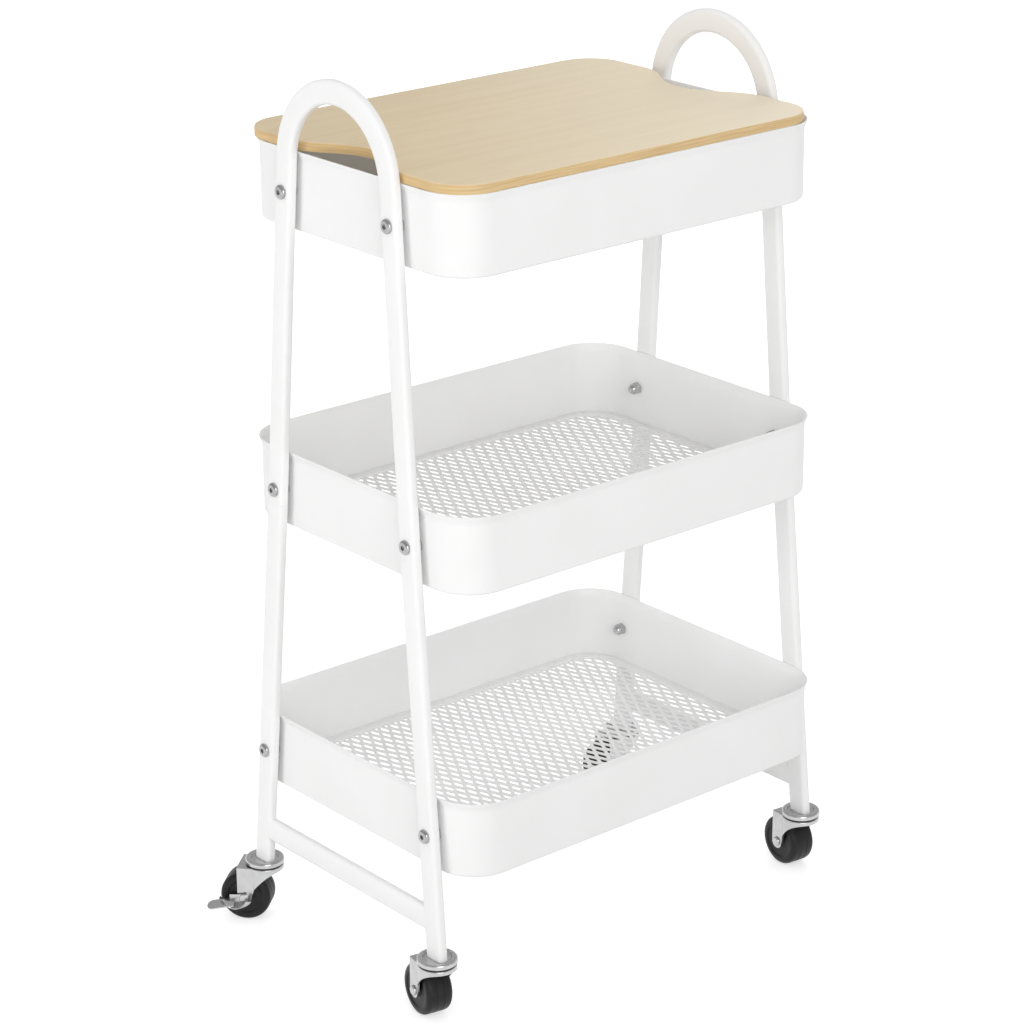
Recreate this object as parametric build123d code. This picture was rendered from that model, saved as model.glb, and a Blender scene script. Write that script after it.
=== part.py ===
"""Three-tier rolling utility cart with a wooden lid, in millimetres, +Z up, origin on the floor."""
import math
import os

from build123d import *

os.makedirs("parts", exist_ok=True)

# Trays: outside size of the bottom one over its rim, how much smaller the top one is, and rim heights
BOTTOM_TRAY_LENGTH = 406.5
BOTTOM_TRAY_DEPTH = 307.0
LENGTH_TAPER = 12.5
DEPTH_TAPER = 25.0
TOP_RIM_Z = 695.0
MIDDLE_RIM_Z = 439.0
BOTTOM_RIM_Z = 196.0
TRAY_HEIGHT = 66.5
TRAY_CORNER_RADIUS = 40.0
SHEET = 1.0
RIM_OVERHANG = 2.5
RIM_HEIGHT = 6.0
RIM_ROUND = 0.8
TRAY_BOTTOM_ROUND = 2.5
FLANGE_WIDTH = 10.0

# Expanded-mesh floors
MESH_THICKNESS = 1.2
MESH_PITCH_X = 29.0
MESH_PITCH_Y = 48.0
MESH_STRAND = 4.6
MESH_BORDER = 7.0
MESH_EDGE_GAP = 0.4

# Leg tube, handle and crossbars
LEG_WIDTH = 20.0
LEG_THICKNESS = 9.0
LEG_CORNER_RADIUS = 3.6
TUBE_WALL = 1.0
RIM_TO_LEG_GAP = 0.1
HANDLE_TOP_Z = 763.0
TOP_BOLT_INSET = 72.6
BOTTOM_BOLT_INSET = 43.9
UPPER_SPLAY = 4.3
LEG_JOINT_Z = 394.0
LEG_JOINT_GAP = 0.25
LEG_BOTTOM_Z = 55.4
SLEEVE_HALF_LENGTH = 24.0
INSERT_FIT = 0.15
PLUG_LENGTH = 24.0
CROSSBAR_Z = 88.0
CROSSBAR_HEIGHT = 20.0
WELD_GAP = 0.05

# Bolts through legs and tray ends
BOLT_BELOW_RIM = 33.0
BOLT_DIAMETER = 6.0
BOLT_HOLE_CLEARANCE = 0.2
BOLT_HEAD_DIAMETER = 12.0
BOLT_HEAD_HEIGHT = 3.2
BOLT_HEAD_ROUND = 2.2
SOCKET_WIDTH = 4.0
SOCKET_DEPTH = 1.8
BUSH_DIAMETER = 12.0
NUT_WIDTH = 10.0
NUT_HEIGHT = 5.0
NUT_DOME_RADIUS = 4.5
SEAT_GAP = 0.15

# Lid
LID_END_MARGIN = 5.0
LID_SIDE_MARGIN = 1.0
LID_THICKNESS = 8.0
LID_CORNER_RADIUS = 34.0
LID_EDGE_ROUND = 1.0
LID_SHIFT = -3.5
NOTCH_DEPTH = 28.0
NOTCH_MOUTH_HALF = 59.0
NOTCH_FLOOR_HALF = 16.0
NOTCH_BEND_RADIUS = 45.0

# Casters
WHEEL_RADIUS = 22.3
WHEEL_WIDTH = 24.0
WHEEL_SHOULDER = 4.0
WHEEL_DISH = 1.0
WHEEL_DISH_RADIUS = 15.0
HUB_RADIUS = 6.5
TRAIL = 16.0
AXLE_DIAMETER = 6.0
AXLE_HEAD_DIAMETER = 8.5
AXLE_HEAD_HEIGHT = 1.8
RUNNING_FIT = 0.05
SIDE_PLAY = 0.3
FORK_SHEET = 1.5
FORK_TOP_Z = 51.0
FORK_BACK = 22.0
FORK_CUP_RADIUS = 16.5
RACE_RADIUS = 17.0
FORK_SKIRT_HEIGHT = 7.0
ARM_END_RADIUS = 6.5
ARM_FRONT = 8.0
PLAN_BLEND = 2.0
STEM_DIAMETER = 5.0
STEM_INSERT = 20.0
KINGPIN_DIAMETER = 9.0
KINGPIN_HEAD_DIAMETER = 14.0
KINGPIN_HEAD_HEIGHT = 2.4
BEARING_HEIGHT = 1.4
BEARING_RADIUS = 15.5
RACE_LIP = 2.2
RACE_DISH_RADIUS = 12.5
RACE_ROUND = 1.8

# Brake lever
LEVER_SHEET = 1.5
LEVER_HUB_RADIUS = 4.2
APRON_LENGTH = 13.0
APRON_ABOVE_AXLE = 3.0
PEDAL_RADIUS = 18.6
PEDAL_CENTRE_BACK = 6.9
PEDAL_CENTRE_RISE = 9.8
PEDAL_LENGTH = 31.0
PEDAL_REACH = 7.0
TONGUE_START = 8.0
TONGUE_LENGTH = 20.0
TONGUE_WIDTH = 9.0
TONGUE_DROP_ANGLE = 13.0
TONGUE_TILT = 20.0

# Sizes and places worked out from the driving sizes
TOP_TRAY_LENGTH = BOTTOM_TRAY_LENGTH - LENGTH_TAPER
TOP_TRAY_DEPTH = BOTTOM_TRAY_DEPTH - DEPTH_TAPER
LID_LENGTH = TOP_TRAY_LENGTH - 2 * LID_END_MARGIN
LID_DEPTH = TOP_TRAY_DEPTH - 2 * LID_SIDE_MARGIN
LEAN_TANGENT = LENGTH_TAPER / 2 / (TOP_RIM_Z - BOTTOM_RIM_Z)
LEAN = math.atan(LEAN_TANGENT)
TIERS = ("top", "middle", "bottom")
RIM_Z = {"top": TOP_RIM_Z, "middle": MIDDLE_RIM_Z, "bottom": BOTTOM_RIM_Z}
MIDDLE_SHARE = (TOP_RIM_Z - MIDDLE_RIM_Z) / (TOP_RIM_Z - BOTTOM_RIM_Z)
TRAY_LENGTH = {
    "top": TOP_TRAY_LENGTH,
    "middle": TOP_TRAY_LENGTH + MIDDLE_SHARE * LENGTH_TAPER,
    "bottom": BOTTOM_TRAY_LENGTH,
}
TRAY_DEPTH = {
    "top": TOP_TRAY_DEPTH,
    "middle": TOP_TRAY_DEPTH + MIDDLE_SHARE * DEPTH_TAPER,
    "bottom": BOTTOM_TRAY_DEPTH,
}
ENDS = {"left": -1, "right": 1}
HOLE_RADIUS = BOLT_DIAMETER / 2 + BOLT_HOLE_CLEARANCE


def save(name, shape):
    """Write one piece."""
    shape.label = name
    export_step(shape, f"parts/{name}.step")


def leg_inner_x(z):
    """Distance from the middle of the cart to the inner face of a leg at height z."""
    return TOP_TRAY_LENGTH / 2 + RIM_TO_LEG_GAP + (TOP_RIM_Z - z) * LEAN_TANGENT


LEG_PLANE_X = leg_inner_x(0) + LEG_THICKNESS / 2 / math.cos(LEAN)


def leg_plane(side):
    """Leaning middle plane of one end frame: local x across the cart, y up the legs, z outwards."""
    normal = (side * math.cos(LEAN), 0, math.sin(LEAN))
    return Plane(origin=(side * LEG_PLANE_X, 0, 0), x_dir=(0, side, 0), z_dir=normal)


def up(z):
    """Distance up the leaning plane that reaches height z."""
    return z / math.cos(LEAN)


def bolt_up(tier):
    """Distance up the leaning plane of a row of bolts."""
    return up(RIM_Z[tier] - BOLT_BELOW_RIM)


JOINT_UP = up(LEG_JOINT_Z)
TOP_BOLT_ACROSS = TOP_TRAY_DEPTH / 2 - TOP_BOLT_INSET
BOTTOM_BOLT_ACROSS = BOTTOM_TRAY_DEPTH / 2 - BOTTOM_BOLT_INSET
UPPER_SLOPE = math.tan(math.radians(UPPER_SPLAY))
JOINT_ACROSS = TOP_BOLT_ACROSS + (bolt_up("top") - JOINT_UP) * UPPER_SLOPE
LOWER_SLOPE = (BOTTOM_BOLT_ACROSS - JOINT_ACROSS) / (JOINT_UP - bolt_up("bottom"))


def leg_across(height):
    """Half-distance between the two leg axes of one end at a distance up the leaning plane."""
    if height >= JOINT_UP:
        return JOINT_ACROSS - (height - JOINT_UP) * UPPER_SLOPE
    return JOINT_ACROSS + (JOINT_UP - height) * LOWER_SLOPE


def tube_section(plane, inset):
    """Rounded cross-section of the leg tube, shrunk by an inset."""
    radius = LEG_CORNER_RADIUS - min(inset, LEG_CORNER_RADIUS * 0.8)
    return plane * RectangleRounded(LEG_WIDTH - 2 * inset, LEG_THICKNESS - 2 * inset, radius)


def swept_tube(path, outward, inset=0.0):
    """Solid bar of the leg's section, shrunk by an inset, along a path in the leaning plane."""
    start = path @ 0
    tangent = path % 0
    section_plane = Plane(origin=start, x_dir=tangent.cross(outward), z_dir=tangent)
    return sweep(tube_section(section_plane, inset), path=path, transition=Transition.RIGHT)


def bolt_places(side, tiers):
    """Places of the bolts of one end on its leaning plane, with local z outwards."""
    plane = leg_plane(side)
    places = []
    for tier in tiers:
        height = bolt_up(tier)
        for across in (-leg_across(height), leg_across(height)):
            places.append((tier, plane.location * Pos(across, height, 0)))
    return places


def bolt_holes(side, tiers):
    """Drills for the bolts of one end."""
    reach = LEG_THICKNESS + RIM_OVERHANG + FLANGE_WIDTH
    return [place * Cylinder(HOLE_RADIUS, 2 * reach) for _, place in bolt_places(side, tiers)]


def in_leg_plane(side, across, height):
    """Point of the leaning plane in the cart's frame."""
    return leg_plane(side).from_local_coords(Vector(across, height, 0))


def upper_leg(side):
    """Inverted U of tube: two splayed legs joined by the handle's arch."""
    splay = math.radians(UPPER_SPLAY)
    arch_top = up(HANDLE_TOP_Z) - LEG_WIDTH / 2
    reach = TOP_BOLT_ACROSS + (bolt_up("top") - arch_top) * UPPER_SLOPE
    radius = math.cos(splay) * reach / (1 - math.sin(splay))
    centre = arch_top - radius
    tangent_across = radius * math.cos(splay)
    tangent_up = centre + radius * math.sin(splay)
    foot = JOINT_UP + LEG_JOINT_GAP / 2
    feet = [in_leg_plane(side, sign * leg_across(foot), foot) for sign in (-1, 1)]
    ends = [in_leg_plane(side, sign * tangent_across, tangent_up) for sign in (-1, 1)]
    crown = in_leg_plane(side, 0, arch_top)
    path = Wire([Line(feet[0], ends[0]), ThreePointArc(ends[0], crown, ends[1]), Line(ends[1], feet[1])])
    outward = leg_plane(side).z_dir
    tube = swept_tube(path, outward) - swept_tube(path, outward, TUBE_WALL)
    return tube - bolt_holes(side, ("top", "middle"))


def lower_leg_path(side, row, top, bottom):
    """Axis of a lower leg between two distances up the leaning plane."""
    across = side * row
    points = [in_leg_plane(side, across * leg_across(height), height) for height in (top, bottom)]
    return Wire([Line(*points)])


def floor_trim(z):
    """Block that takes off everything below height z."""
    size = 2 * BOTTOM_TRAY_LENGTH
    return Pos(0, 0, z - size / 2) * Box(size, size, size)


LOWER_TOP = JOINT_UP - LEG_JOINT_GAP / 2
LOWER_END = up(LEG_BOTTOM_Z) - LEG_WIDTH


def lower_leg_bar(side, row):
    """Outside of one lower leg as a solid bar, longer than the leg at the bottom."""
    return swept_tube(lower_leg_path(side, row, LOWER_TOP, LOWER_END), leg_plane(side).z_dir)


def lower_leg(side, row):
    """Splayed straight tube, cut level where it stands on its caster."""
    path = lower_leg_path(side, row, LOWER_TOP, LOWER_END)
    tube = lower_leg_bar(side, row) - swept_tube(path, leg_plane(side).z_dir, TUBE_WALL)
    return tube - floor_trim(LEG_BOTTOM_Z) - bolt_holes(side, ("bottom",))


def crossbar(side):
    """Flat tube between the two lower legs of one end, coped to their edges."""
    plane = leg_plane(side)
    length = 2 * leg_across(up(CROSSBAR_Z))
    start = plane.location * Pos(-length / 2, up(CROSSBAR_Z), 0) * Rot(0, 90, 0)
    inner_radius = LEG_CORNER_RADIUS - min(TUBE_WALL, LEG_CORNER_RADIUS * 0.8)
    outer = RectangleRounded(LEG_THICKNESS, CROSSBAR_HEIGHT, LEG_CORNER_RADIUS)
    inner = RectangleRounded(LEG_THICKNESS - 2 * TUBE_WALL, CROSSBAR_HEIGHT - 2 * TUBE_WALL, inner_radius)
    bar = start * extrude(outer - inner, amount=length)
    for row in (-1, 1):
        path = lower_leg_path(side, row, LOWER_TOP, LOWER_END)
        bar -= swept_tube(path, plane.z_dir, -WELD_GAP)
    return bar


def leg_sleeve(side, row):
    """Insert that carries the upper leg on the lower one, bent by the change of splay."""
    across = side * row
    heights = (JOINT_UP + SLEEVE_HALF_LENGTH, JOINT_UP, JOINT_UP - SLEEVE_HALF_LENGTH)
    points = [in_leg_plane(side, across * leg_across(height), height) for height in heights]
    path = Wire([Line(points[0], points[1]), Line(points[1], points[2])])
    bar = swept_tube(path, leg_plane(side).z_dir, TUBE_WALL + INSERT_FIT)
    return bar - bolt_holes(side, ("middle",))


def caster_place(side, row):
    """Swivel axis of the caster under one leg, on the floor."""
    point = in_leg_plane(side, side * row * leg_across(up(LEG_BOTTOM_Z)), up(LEG_BOTTOM_Z))
    return Pos(point.X, point.Y, 0)


def leg_plug(side, row):
    """Insert in the bottom of a lower leg, bored upright for the caster's stem."""
    path = lower_leg_path(side, row, up(LEG_BOTTOM_Z + PLUG_LENGTH), LOWER_END)
    bar = swept_tube(path, leg_plane(side).z_dir, TUBE_WALL + INSERT_FIT) - floor_trim(LEG_BOTTOM_Z)
    bore = caster_place(side, row) * Pos(0, 0, LEG_BOTTOM_Z) * Cylinder(
        STEM_DIAMETER / 2 + RUNNING_FIT, 2 * (STEM_INSERT + 1))
    return bar - bore


def tray(tier):
    """Deep-sided sheet tray with a flared rim, an inward bottom flange and bolt holes in its ends."""
    length = TRAY_LENGTH[tier]
    depth = TRAY_DEPTH[tier]
    base = RIM_Z[tier] - TRAY_HEIGHT

    def outline(inset):
        return RectangleRounded(length - 2 * inset, depth - 2 * inset, TRAY_CORNER_RADIUS - inset)

    wall = Pos(0, 0, base) * extrude(outline(RIM_OVERHANG), amount=TRAY_HEIGHT)
    wall = fillet(wall.faces().sort_by(Axis.Z)[0].edges(), TRAY_BOTTOM_ROUND)
    flare = math.degrees(math.atan(RIM_OVERHANG / RIM_HEIGHT))
    rim = extrude(outline(RIM_OVERHANG), amount=RIM_HEIGHT, taper=-flare)
    rim = Pos(0, 0, base + TRAY_HEIGHT - RIM_HEIGHT) * rim
    rim = fillet(rim.faces().sort_by(Axis.Z)[-1].edges(), RIM_ROUND)
    inside = Pos(0, 0, base + SHEET) * extrude(outline(RIM_OVERHANG + SHEET), amount=TRAY_HEIGHT)
    opening = outline(RIM_OVERHANG + SHEET + FLANGE_WIDTH)
    window = Pos(0, 0, base - SHEET) * extrude(opening, amount=TRAY_HEIGHT)
    shell = wall + rim - inside - window
    for side in ENDS.values():
        shell -= bolt_holes(side, (tier,))
    return shell


def mesh_floor(tier):
    """Expanded-mesh sheet lying on the flange: one face with staggered diamond gaps."""
    inset = RIM_OVERHANG + SHEET + MESH_EDGE_GAP
    length = TRAY_LENGTH[tier] - 2 * inset
    depth = TRAY_DEPTH[tier] - 2 * inset
    corner = TRAY_CORNER_RADIUS - inset
    side = math.hypot(MESH_PITCH_X, MESH_PITCH_Y)
    shrink = 1 - MESH_STRAND * side / (MESH_PITCH_X * MESH_PITCH_Y)
    half_x = shrink * MESH_PITCH_X / 2
    half_y = shrink * MESH_PITCH_Y / 2

    def within(x, y):
        over_x = max(0, abs(x) - (length / 2 - corner))
        over_y = max(0, abs(y) - (depth / 2 - corner))
        return math.hypot(over_x, over_y) <= corner - MESH_BORDER

    gaps = []
    columns = math.ceil(length / MESH_PITCH_X)
    rows = math.ceil(depth / MESH_PITCH_Y)
    for column in range(-columns, columns + 1):
        for row in range(-rows, rows + 1):
            if (column + row) % 2:
                continue
            x = column * MESH_PITCH_X / 2
            y = row * MESH_PITCH_Y / 2
            tips = [(x + half_x, y), (x, y + half_y), (x - half_x, y), (x, y - half_y)]
            if all(within(*tip) for tip in tips):
                gaps.append(Wire.make_polygon(tips, close=True))
    sheet = Face(RectangleRounded(length, depth, corner).face().outer_wire(), gaps)
    z = RIM_Z[tier] - TRAY_HEIGHT + SHEET
    return Pos(0, 0, z) * extrude(sheet, amount=MESH_THICKNESS, dir=(0, 0, 1))


def wall_gap(tier):
    """Distance from a leg's inner face to the tray's end wall, along a bolt."""
    bolt_z = RIM_Z[tier] - BOLT_BELOW_RIM
    return (leg_inner_x(bolt_z) - TRAY_LENGTH[tier] / 2 + RIM_OVERHANG) * math.cos(LEAN)


def tray_bolt(tier):
    """Button-head bolt, local z out of the cart, with a hexagon socket."""
    shank = LEG_THICKNESS + wall_gap(tier) + SHEET + NUT_HEIGHT
    body = Pos(0, 0, LEG_THICKNESS / 2 - shank / 2) * Cylinder(BOLT_DIAMETER / 2, shank)
    head = Cylinder(BOLT_HEAD_DIAMETER / 2, BOLT_HEAD_HEIGHT)
    head = fillet(head.faces().sort_by(Axis.Z)[-1].edges(), BOLT_HEAD_ROUND)
    socket = Pos(0, 0, BOLT_HEAD_HEIGHT / 2 - SOCKET_DEPTH) * extrude(
        RegularPolygon(SOCKET_WIDTH / math.sqrt(3), 6), amount=BOLT_HEAD_HEIGHT)
    return body + Pos(0, 0, LEG_THICKNESS / 2 + BOLT_HEAD_HEIGHT / 2) * (head - socket)


def spacer_bush(tier):
    """Ring on a bolt that keeps the leg off the tray's end wall."""
    length = wall_gap(tier) - 2 * SEAT_GAP
    ring = Cylinder(BUSH_DIAMETER / 2, length) - Cylinder(HOLE_RADIUS, 2 * length)
    return Pos(0, 0, -LEG_THICKNESS / 2 - SEAT_GAP - length / 2) * ring


def cap_nut(tier):
    """Domed hexagon nut on the inside of the tray's end wall."""
    seat = -LEG_THICKNESS / 2 - wall_gap(tier) - SHEET - SEAT_GAP
    hexagon = Pos(0, 0, -NUT_HEIGHT) * extrude(
        RegularPolygon(NUT_WIDTH / math.sqrt(3), 6, rotation=30), amount=NUT_HEIGHT)
    dome = Pos(0, 0, -NUT_HEIGHT) * Sphere(NUT_DOME_RADIUS)
    bore = Cylinder(HOLE_RADIUS, 2 * NUT_HEIGHT + 1)
    return Pos(0, 0, seat) * (hexagon + dome - bore)


def fastener_set(make):
    """One fastener on each of the twelve bolt places, as separate solids."""
    solids = []
    for side in ENDS.values():
        for tier, place in bolt_places(side, TIERS):
            solids.append((place * make(tier)).solid())
    return Compound(children=solids)


def lid():
    """Wooden board on the top tray with a curved finger notch in each end."""
    half = LID_LENGTH / 2
    board = RectangleRounded(LID_LENGTH, LID_DEPTH, LID_CORNER_RADIUS)
    for sign in (-1, 1):
        floor_x = sign * (half - NOTCH_DEPTH)
        beyond = sign * (half + NOTCH_DEPTH)
        board -= make_face(Polyline(
            (beyond, -NOTCH_MOUTH_HALF), (sign * half, -NOTCH_MOUTH_HALF), (floor_x, -NOTCH_FLOOR_HALF),
            (floor_x, NOTCH_FLOOR_HALF), (sign * half, NOTCH_MOUTH_HALF), (beyond, NOTCH_MOUTH_HALF),
            close=True))
    bends = [vertex for vertex in board.vertices() if abs(vertex.Y) < NOTCH_MOUTH_HALF + 0.01]
    board = fillet(bends, NOTCH_BEND_RADIUS)
    slab = extrude(board, amount=LID_THICKNESS)
    slab = fillet(slab.faces().sort_by(Axis.Z)[-1].edges(), LID_EDGE_ROUND)
    return Pos(LID_SHIFT, 0, TOP_RIM_Z + SEAT_GAP) * slab


FORK_HALF_INSIDE = WHEEL_WIDTH / 2 + SIDE_PLAY
FORK_HALF_WIDTH = FORK_HALF_INSIDE + FORK_SHEET
AXLE_PLACE = Pos(0, TRAIL, WHEEL_RADIUS)
ALONG_X = Rot(0, 90, 0)


def caster_fork():
    """Stamped fork: a cup under the swivel that runs back into two arms, local y towards the axle."""

    def plan(inset):
        cup = Circle(FORK_CUP_RADIUS - inset)
        length = FORK_BACK - inset
        arms = Pos(0, length / 2) * Rectangle(2 * (FORK_HALF_WIDTH - inset), length)
        outline = cup + arms
        corners = [v for v in outline.vertices() if v.Y < FORK_BACK - FORK_SHEET - 1]
        return fillet(corners, PLAN_BLEND)

    low = WHEEL_RADIUS - ARM_END_RADIUS
    body = Pos(0, 0, low) * extrude(plan(0), amount=FORK_TOP_Z - low)
    hollow = Pos(0, 0, low - 1) * extrude(plan(FORK_SHEET), amount=FORK_TOP_Z - low - FORK_SHEET + 1)
    back_open = Pos(0, FORK_BACK, (low + FORK_TOP_Z) / 2 - FORK_SHEET) * Box(
        2 * FORK_HALF_INSIDE, 4 * FORK_SHEET, FORK_TOP_Z - low)
    front = -FORK_CUP_RADIUS - 1
    skirt_z = FORK_TOP_Z - FORK_SKIRT_HEIGHT
    arm_back = (TRAIL + ARM_END_RADIUS, WHEEL_RADIUS)
    arm_front = (TRAIL - ARM_END_RADIUS, WHEEL_RADIUS)
    side_profile = make_face([
        Line((front, FORK_TOP_Z), (FORK_BACK, FORK_TOP_Z)),
        Line((FORK_BACK, FORK_TOP_Z), arm_back),
        ThreePointArc(arm_back, (TRAIL, low), arm_front),
        Line(arm_front, (ARM_FRONT, WHEEL_RADIUS + ARM_END_RADIUS)),
        RadiusArc((ARM_FRONT, WHEEL_RADIUS + ARM_END_RADIUS), (front, skirt_z), WHEEL_RADIUS * 1.6),
        Line((front, skirt_z), (front, FORK_TOP_Z)),
    ])
    side_cut = extrude(Plane.YZ * side_profile, amount=FORK_CUP_RADIUS + 1, both=True)
    fork = (body - hollow - back_open) & side_cut
    kingpin_hole = Pos(0, 0, FORK_TOP_Z) * Cylinder(KINGPIN_DIAMETER / 2 + RUNNING_FIT, 4 * FORK_SHEET)
    axle_hole = AXLE_PLACE * ALONG_X * Cylinder(AXLE_DIAMETER / 2 + RUNNING_FIT, 3 * FORK_CUP_RADIUS)
    return fork - kingpin_hole - axle_hole


def caster_stem():
    """Stem with the dished upper race round the leg's foot, and the kingpin riveted under the fork's top."""
    race_low = FORK_TOP_Z + BEARING_HEIGHT + 2 * SEAT_GAP
    dish_z = LEG_BOTTOM_Z - SEAT_GAP
    race_height = dish_z + RACE_LIP - race_low
    race = Pos(0, 0, race_low + race_height / 2) * Cylinder(RACE_RADIUS, race_height)
    race = fillet(race.faces().sort_by(Axis.Z)[-1].edges(), min(RACE_ROUND, race_height * 0.8))
    race -= Pos(0, 0, dish_z + race_height / 2) * Cylinder(RACE_DISH_RADIUS, race_height)
    pin_low = FORK_TOP_Z - FORK_SHEET - SEAT_GAP
    pin = Pos(0, 0, (pin_low + race_low) / 2) * Cylinder(KINGPIN_DIAMETER / 2, race_low - pin_low)
    head = Cylinder(KINGPIN_HEAD_DIAMETER / 2, KINGPIN_HEAD_HEIGHT)
    head = Pos(0, 0, pin_low - KINGPIN_HEAD_HEIGHT / 2) * head
    top = LEG_BOTTOM_Z + STEM_INSERT
    stem = Pos(0, 0, (race_low + top) / 2) * Cylinder(STEM_DIAMETER / 2, top - race_low)
    return race + pin + head + stem


def bearing_ring():
    """Thrust ring between the fork's top and the upper race."""
    bore = Cylinder(KINGPIN_DIAMETER / 2 + 2 * SEAT_GAP, 2 * BEARING_HEIGHT)
    ring = Cylinder(BEARING_RADIUS, BEARING_HEIGHT) - bore
    return Pos(0, 0, FORK_TOP_Z + SEAT_GAP + BEARING_HEIGHT / 2) * ring


def caster_wheel():
    """Plastic wheel with rounded shoulders, dished sides and a hub boss."""
    half = WHEEL_WIDTH / 2
    bore = AXLE_DIAMETER / 2 + RUNNING_FIT
    flat = WHEEL_RADIUS - WHEEL_SHOULDER
    bend = WHEEL_SHOULDER * math.sqrt(0.5)
    tread = half - WHEEL_SHOULDER
    right = [(bore, half), (HUB_RADIUS, half), (HUB_RADIUS, half - WHEEL_DISH),
             (WHEEL_DISH_RADIUS, half - WHEEL_DISH), (WHEEL_DISH_RADIUS + WHEEL_DISH, half), (flat, half)]
    left = [(radius, -axial) for radius, axial in reversed(right)]
    profile = make_face([
        Polyline(*right),
        ThreePointArc((flat, half), (flat + bend, tread + bend), (WHEEL_RADIUS, tread)),
        Line((WHEEL_RADIUS, tread), (WHEEL_RADIUS, -tread)),
        ThreePointArc((WHEEL_RADIUS, -tread), (flat + bend, -tread - bend), (flat, -half)),
        Polyline(*left),
        Line((bore, -half), (bore, half)),
    ])
    return AXLE_PLACE * ALONG_X * revolve(Plane.XZ * profile, axis=Axis.Z)


LEVER_INSIDE = FORK_HALF_WIDTH + SIDE_PLAY
LEVER_OUTSIDE = LEVER_INSIDE + LEVER_SHEET


def caster_axle(braked):
    """Rivet through both arms, with its head outside the brake lever where there is one."""
    left = (LEVER_OUTSIDE if braked else FORK_HALF_WIDTH) + SEAT_GAP
    right = FORK_HALF_WIDTH + SEAT_GAP
    shank = Pos(0, 0, (right - left) / 2) * Cylinder(AXLE_DIAMETER / 2, left + right)
    button = Cylinder(AXLE_HEAD_DIAMETER / 2, AXLE_HEAD_HEIGHT)
    button = fillet(button.faces().sort_by(Axis.Z)[-1].edges(), AXLE_HEAD_HEIGHT * 0.7)
    right_head = Pos(0, 0, right + AXLE_HEAD_HEIGHT / 2) * button
    left_head = Pos(0, 0, -left - AXLE_HEAD_HEIGHT / 2) * Rot(180, 0, 0) * button
    return AXLE_PLACE * ALONG_X * (shank + right_head + left_head)


def brake_lever():
    """Rocking pedal on the axle: an apron, a curled flange bent outwards and a tongue behind to press."""
    middle = (PEDAL_CENTRE_BACK, PEDAL_CENTRE_RISE)
    apron_height = APRON_ABOVE_AXLE + PEDAL_RADIUS
    apron_middle = APRON_ABOVE_AXLE - apron_height / 2
    apron = Pos(APRON_LENGTH / 2, apron_middle) * Rectangle(APRON_LENGTH, apron_height)
    hub = Circle(LEVER_HUB_RADIUS) + (apron & Pos(*middle) * Circle(PEDAL_RADIUS))
    plate = extrude(Plane.YZ * (hub - Circle(AXLE_DIAMETER / 2 + RUNNING_FIT)), amount=LEVER_SHEET)
    band = Pos(*middle) * (Circle(PEDAL_RADIUS) - Circle(PEDAL_RADIUS - LEVER_SHEET))
    low_half = Rectangle(PEDAL_LENGTH, PEDAL_RADIUS)
    curl = band & Pos(PEDAL_CENTRE_BACK, PEDAL_CENTRE_RISE - PEDAL_RADIUS / 2) * low_half
    flange = Pos(-PEDAL_REACH, 0, 0) * extrude(Plane.YZ * curl, amount=PEDAL_REACH + LEVER_SHEET)
    strip = Pos((LEVER_SHEET - TONGUE_WIDTH) / 2, TONGUE_LENGTH / 2) * Rectangle(
        TONGUE_WIDTH + LEVER_SHEET, TONGUE_LENGTH)
    tip = Pos((LEVER_SHEET - TONGUE_WIDTH) / 2, TONGUE_LENGTH) * Circle((TONGUE_WIDTH + LEVER_SHEET) / 2)
    bent = Pos(0, TONGUE_START, 0) * Rot(-TONGUE_DROP_ANGLE, 0, 0) * Rot(0, -TONGUE_TILT, 0)
    tongue = bent * extrude(strip + tip, amount=-LEVER_SHEET)
    return AXLE_PLACE * Pos(-LEVER_OUTSIDE, 0, 0) * (plate + flange + tongue)


def caster(name, side, row, yaw, braked):
    """All pieces of one caster, turned about its swivel axis."""
    place = caster_place(side, row) * Rot(0, 0, yaw)
    save(f"caster_stem_{name}", place * caster_stem())
    save(f"bearing_ring_{name}", place * bearing_ring())
    save(f"caster_fork_{name}", place * caster_fork())
    save(f"axle_{name}", place * caster_axle(braked))
    save(f"wheel_{name}", place * caster_wheel())
    if braked:
        save(f"brake_lever_{name}", place * brake_lever())


ROWS = {"front": -1, "back": 1}
CASTER_YAW = {("front", "left"): -10, ("front", "right"): -6, ("back", "left"): 40, ("back", "right"): 80}

for tier_name in TIERS:
    save(f"tray_{tier_name}", tray(tier_name))
    save(f"mesh_floor_{tier_name}", mesh_floor(tier_name))
sleeves = []
plugs = []
for end_name, end_side in ENDS.items():
    save(f"upper_leg_{end_name}", upper_leg(end_side))
    save(f"crossbar_{end_name}", crossbar(end_side))
    for row_name, row_side in ROWS.items():
        corner_name = f"{row_name}_{end_name}"
        save(f"lower_leg_{corner_name}", lower_leg(end_side, row_side))
        sleeves.append(leg_sleeve(end_side, row_side).solid())
        plugs.append(leg_plug(end_side, row_side).solid())
        caster(corner_name, end_side, row_side, CASTER_YAW[row_name, end_name], row_name == "back")
save("leg_sleeves", Compound(children=sleeves))
save("leg_plugs", Compound(children=plugs))
save("tray_bolts", fastener_set(tray_bolt))
save("spacer_bushes", fastener_set(spacer_bush))
save("cap_nuts", fastener_set(cap_nut))
save("lid", lid())
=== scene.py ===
import math

import bmesh
import bpy
from mathutils import Matrix, Vector


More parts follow.
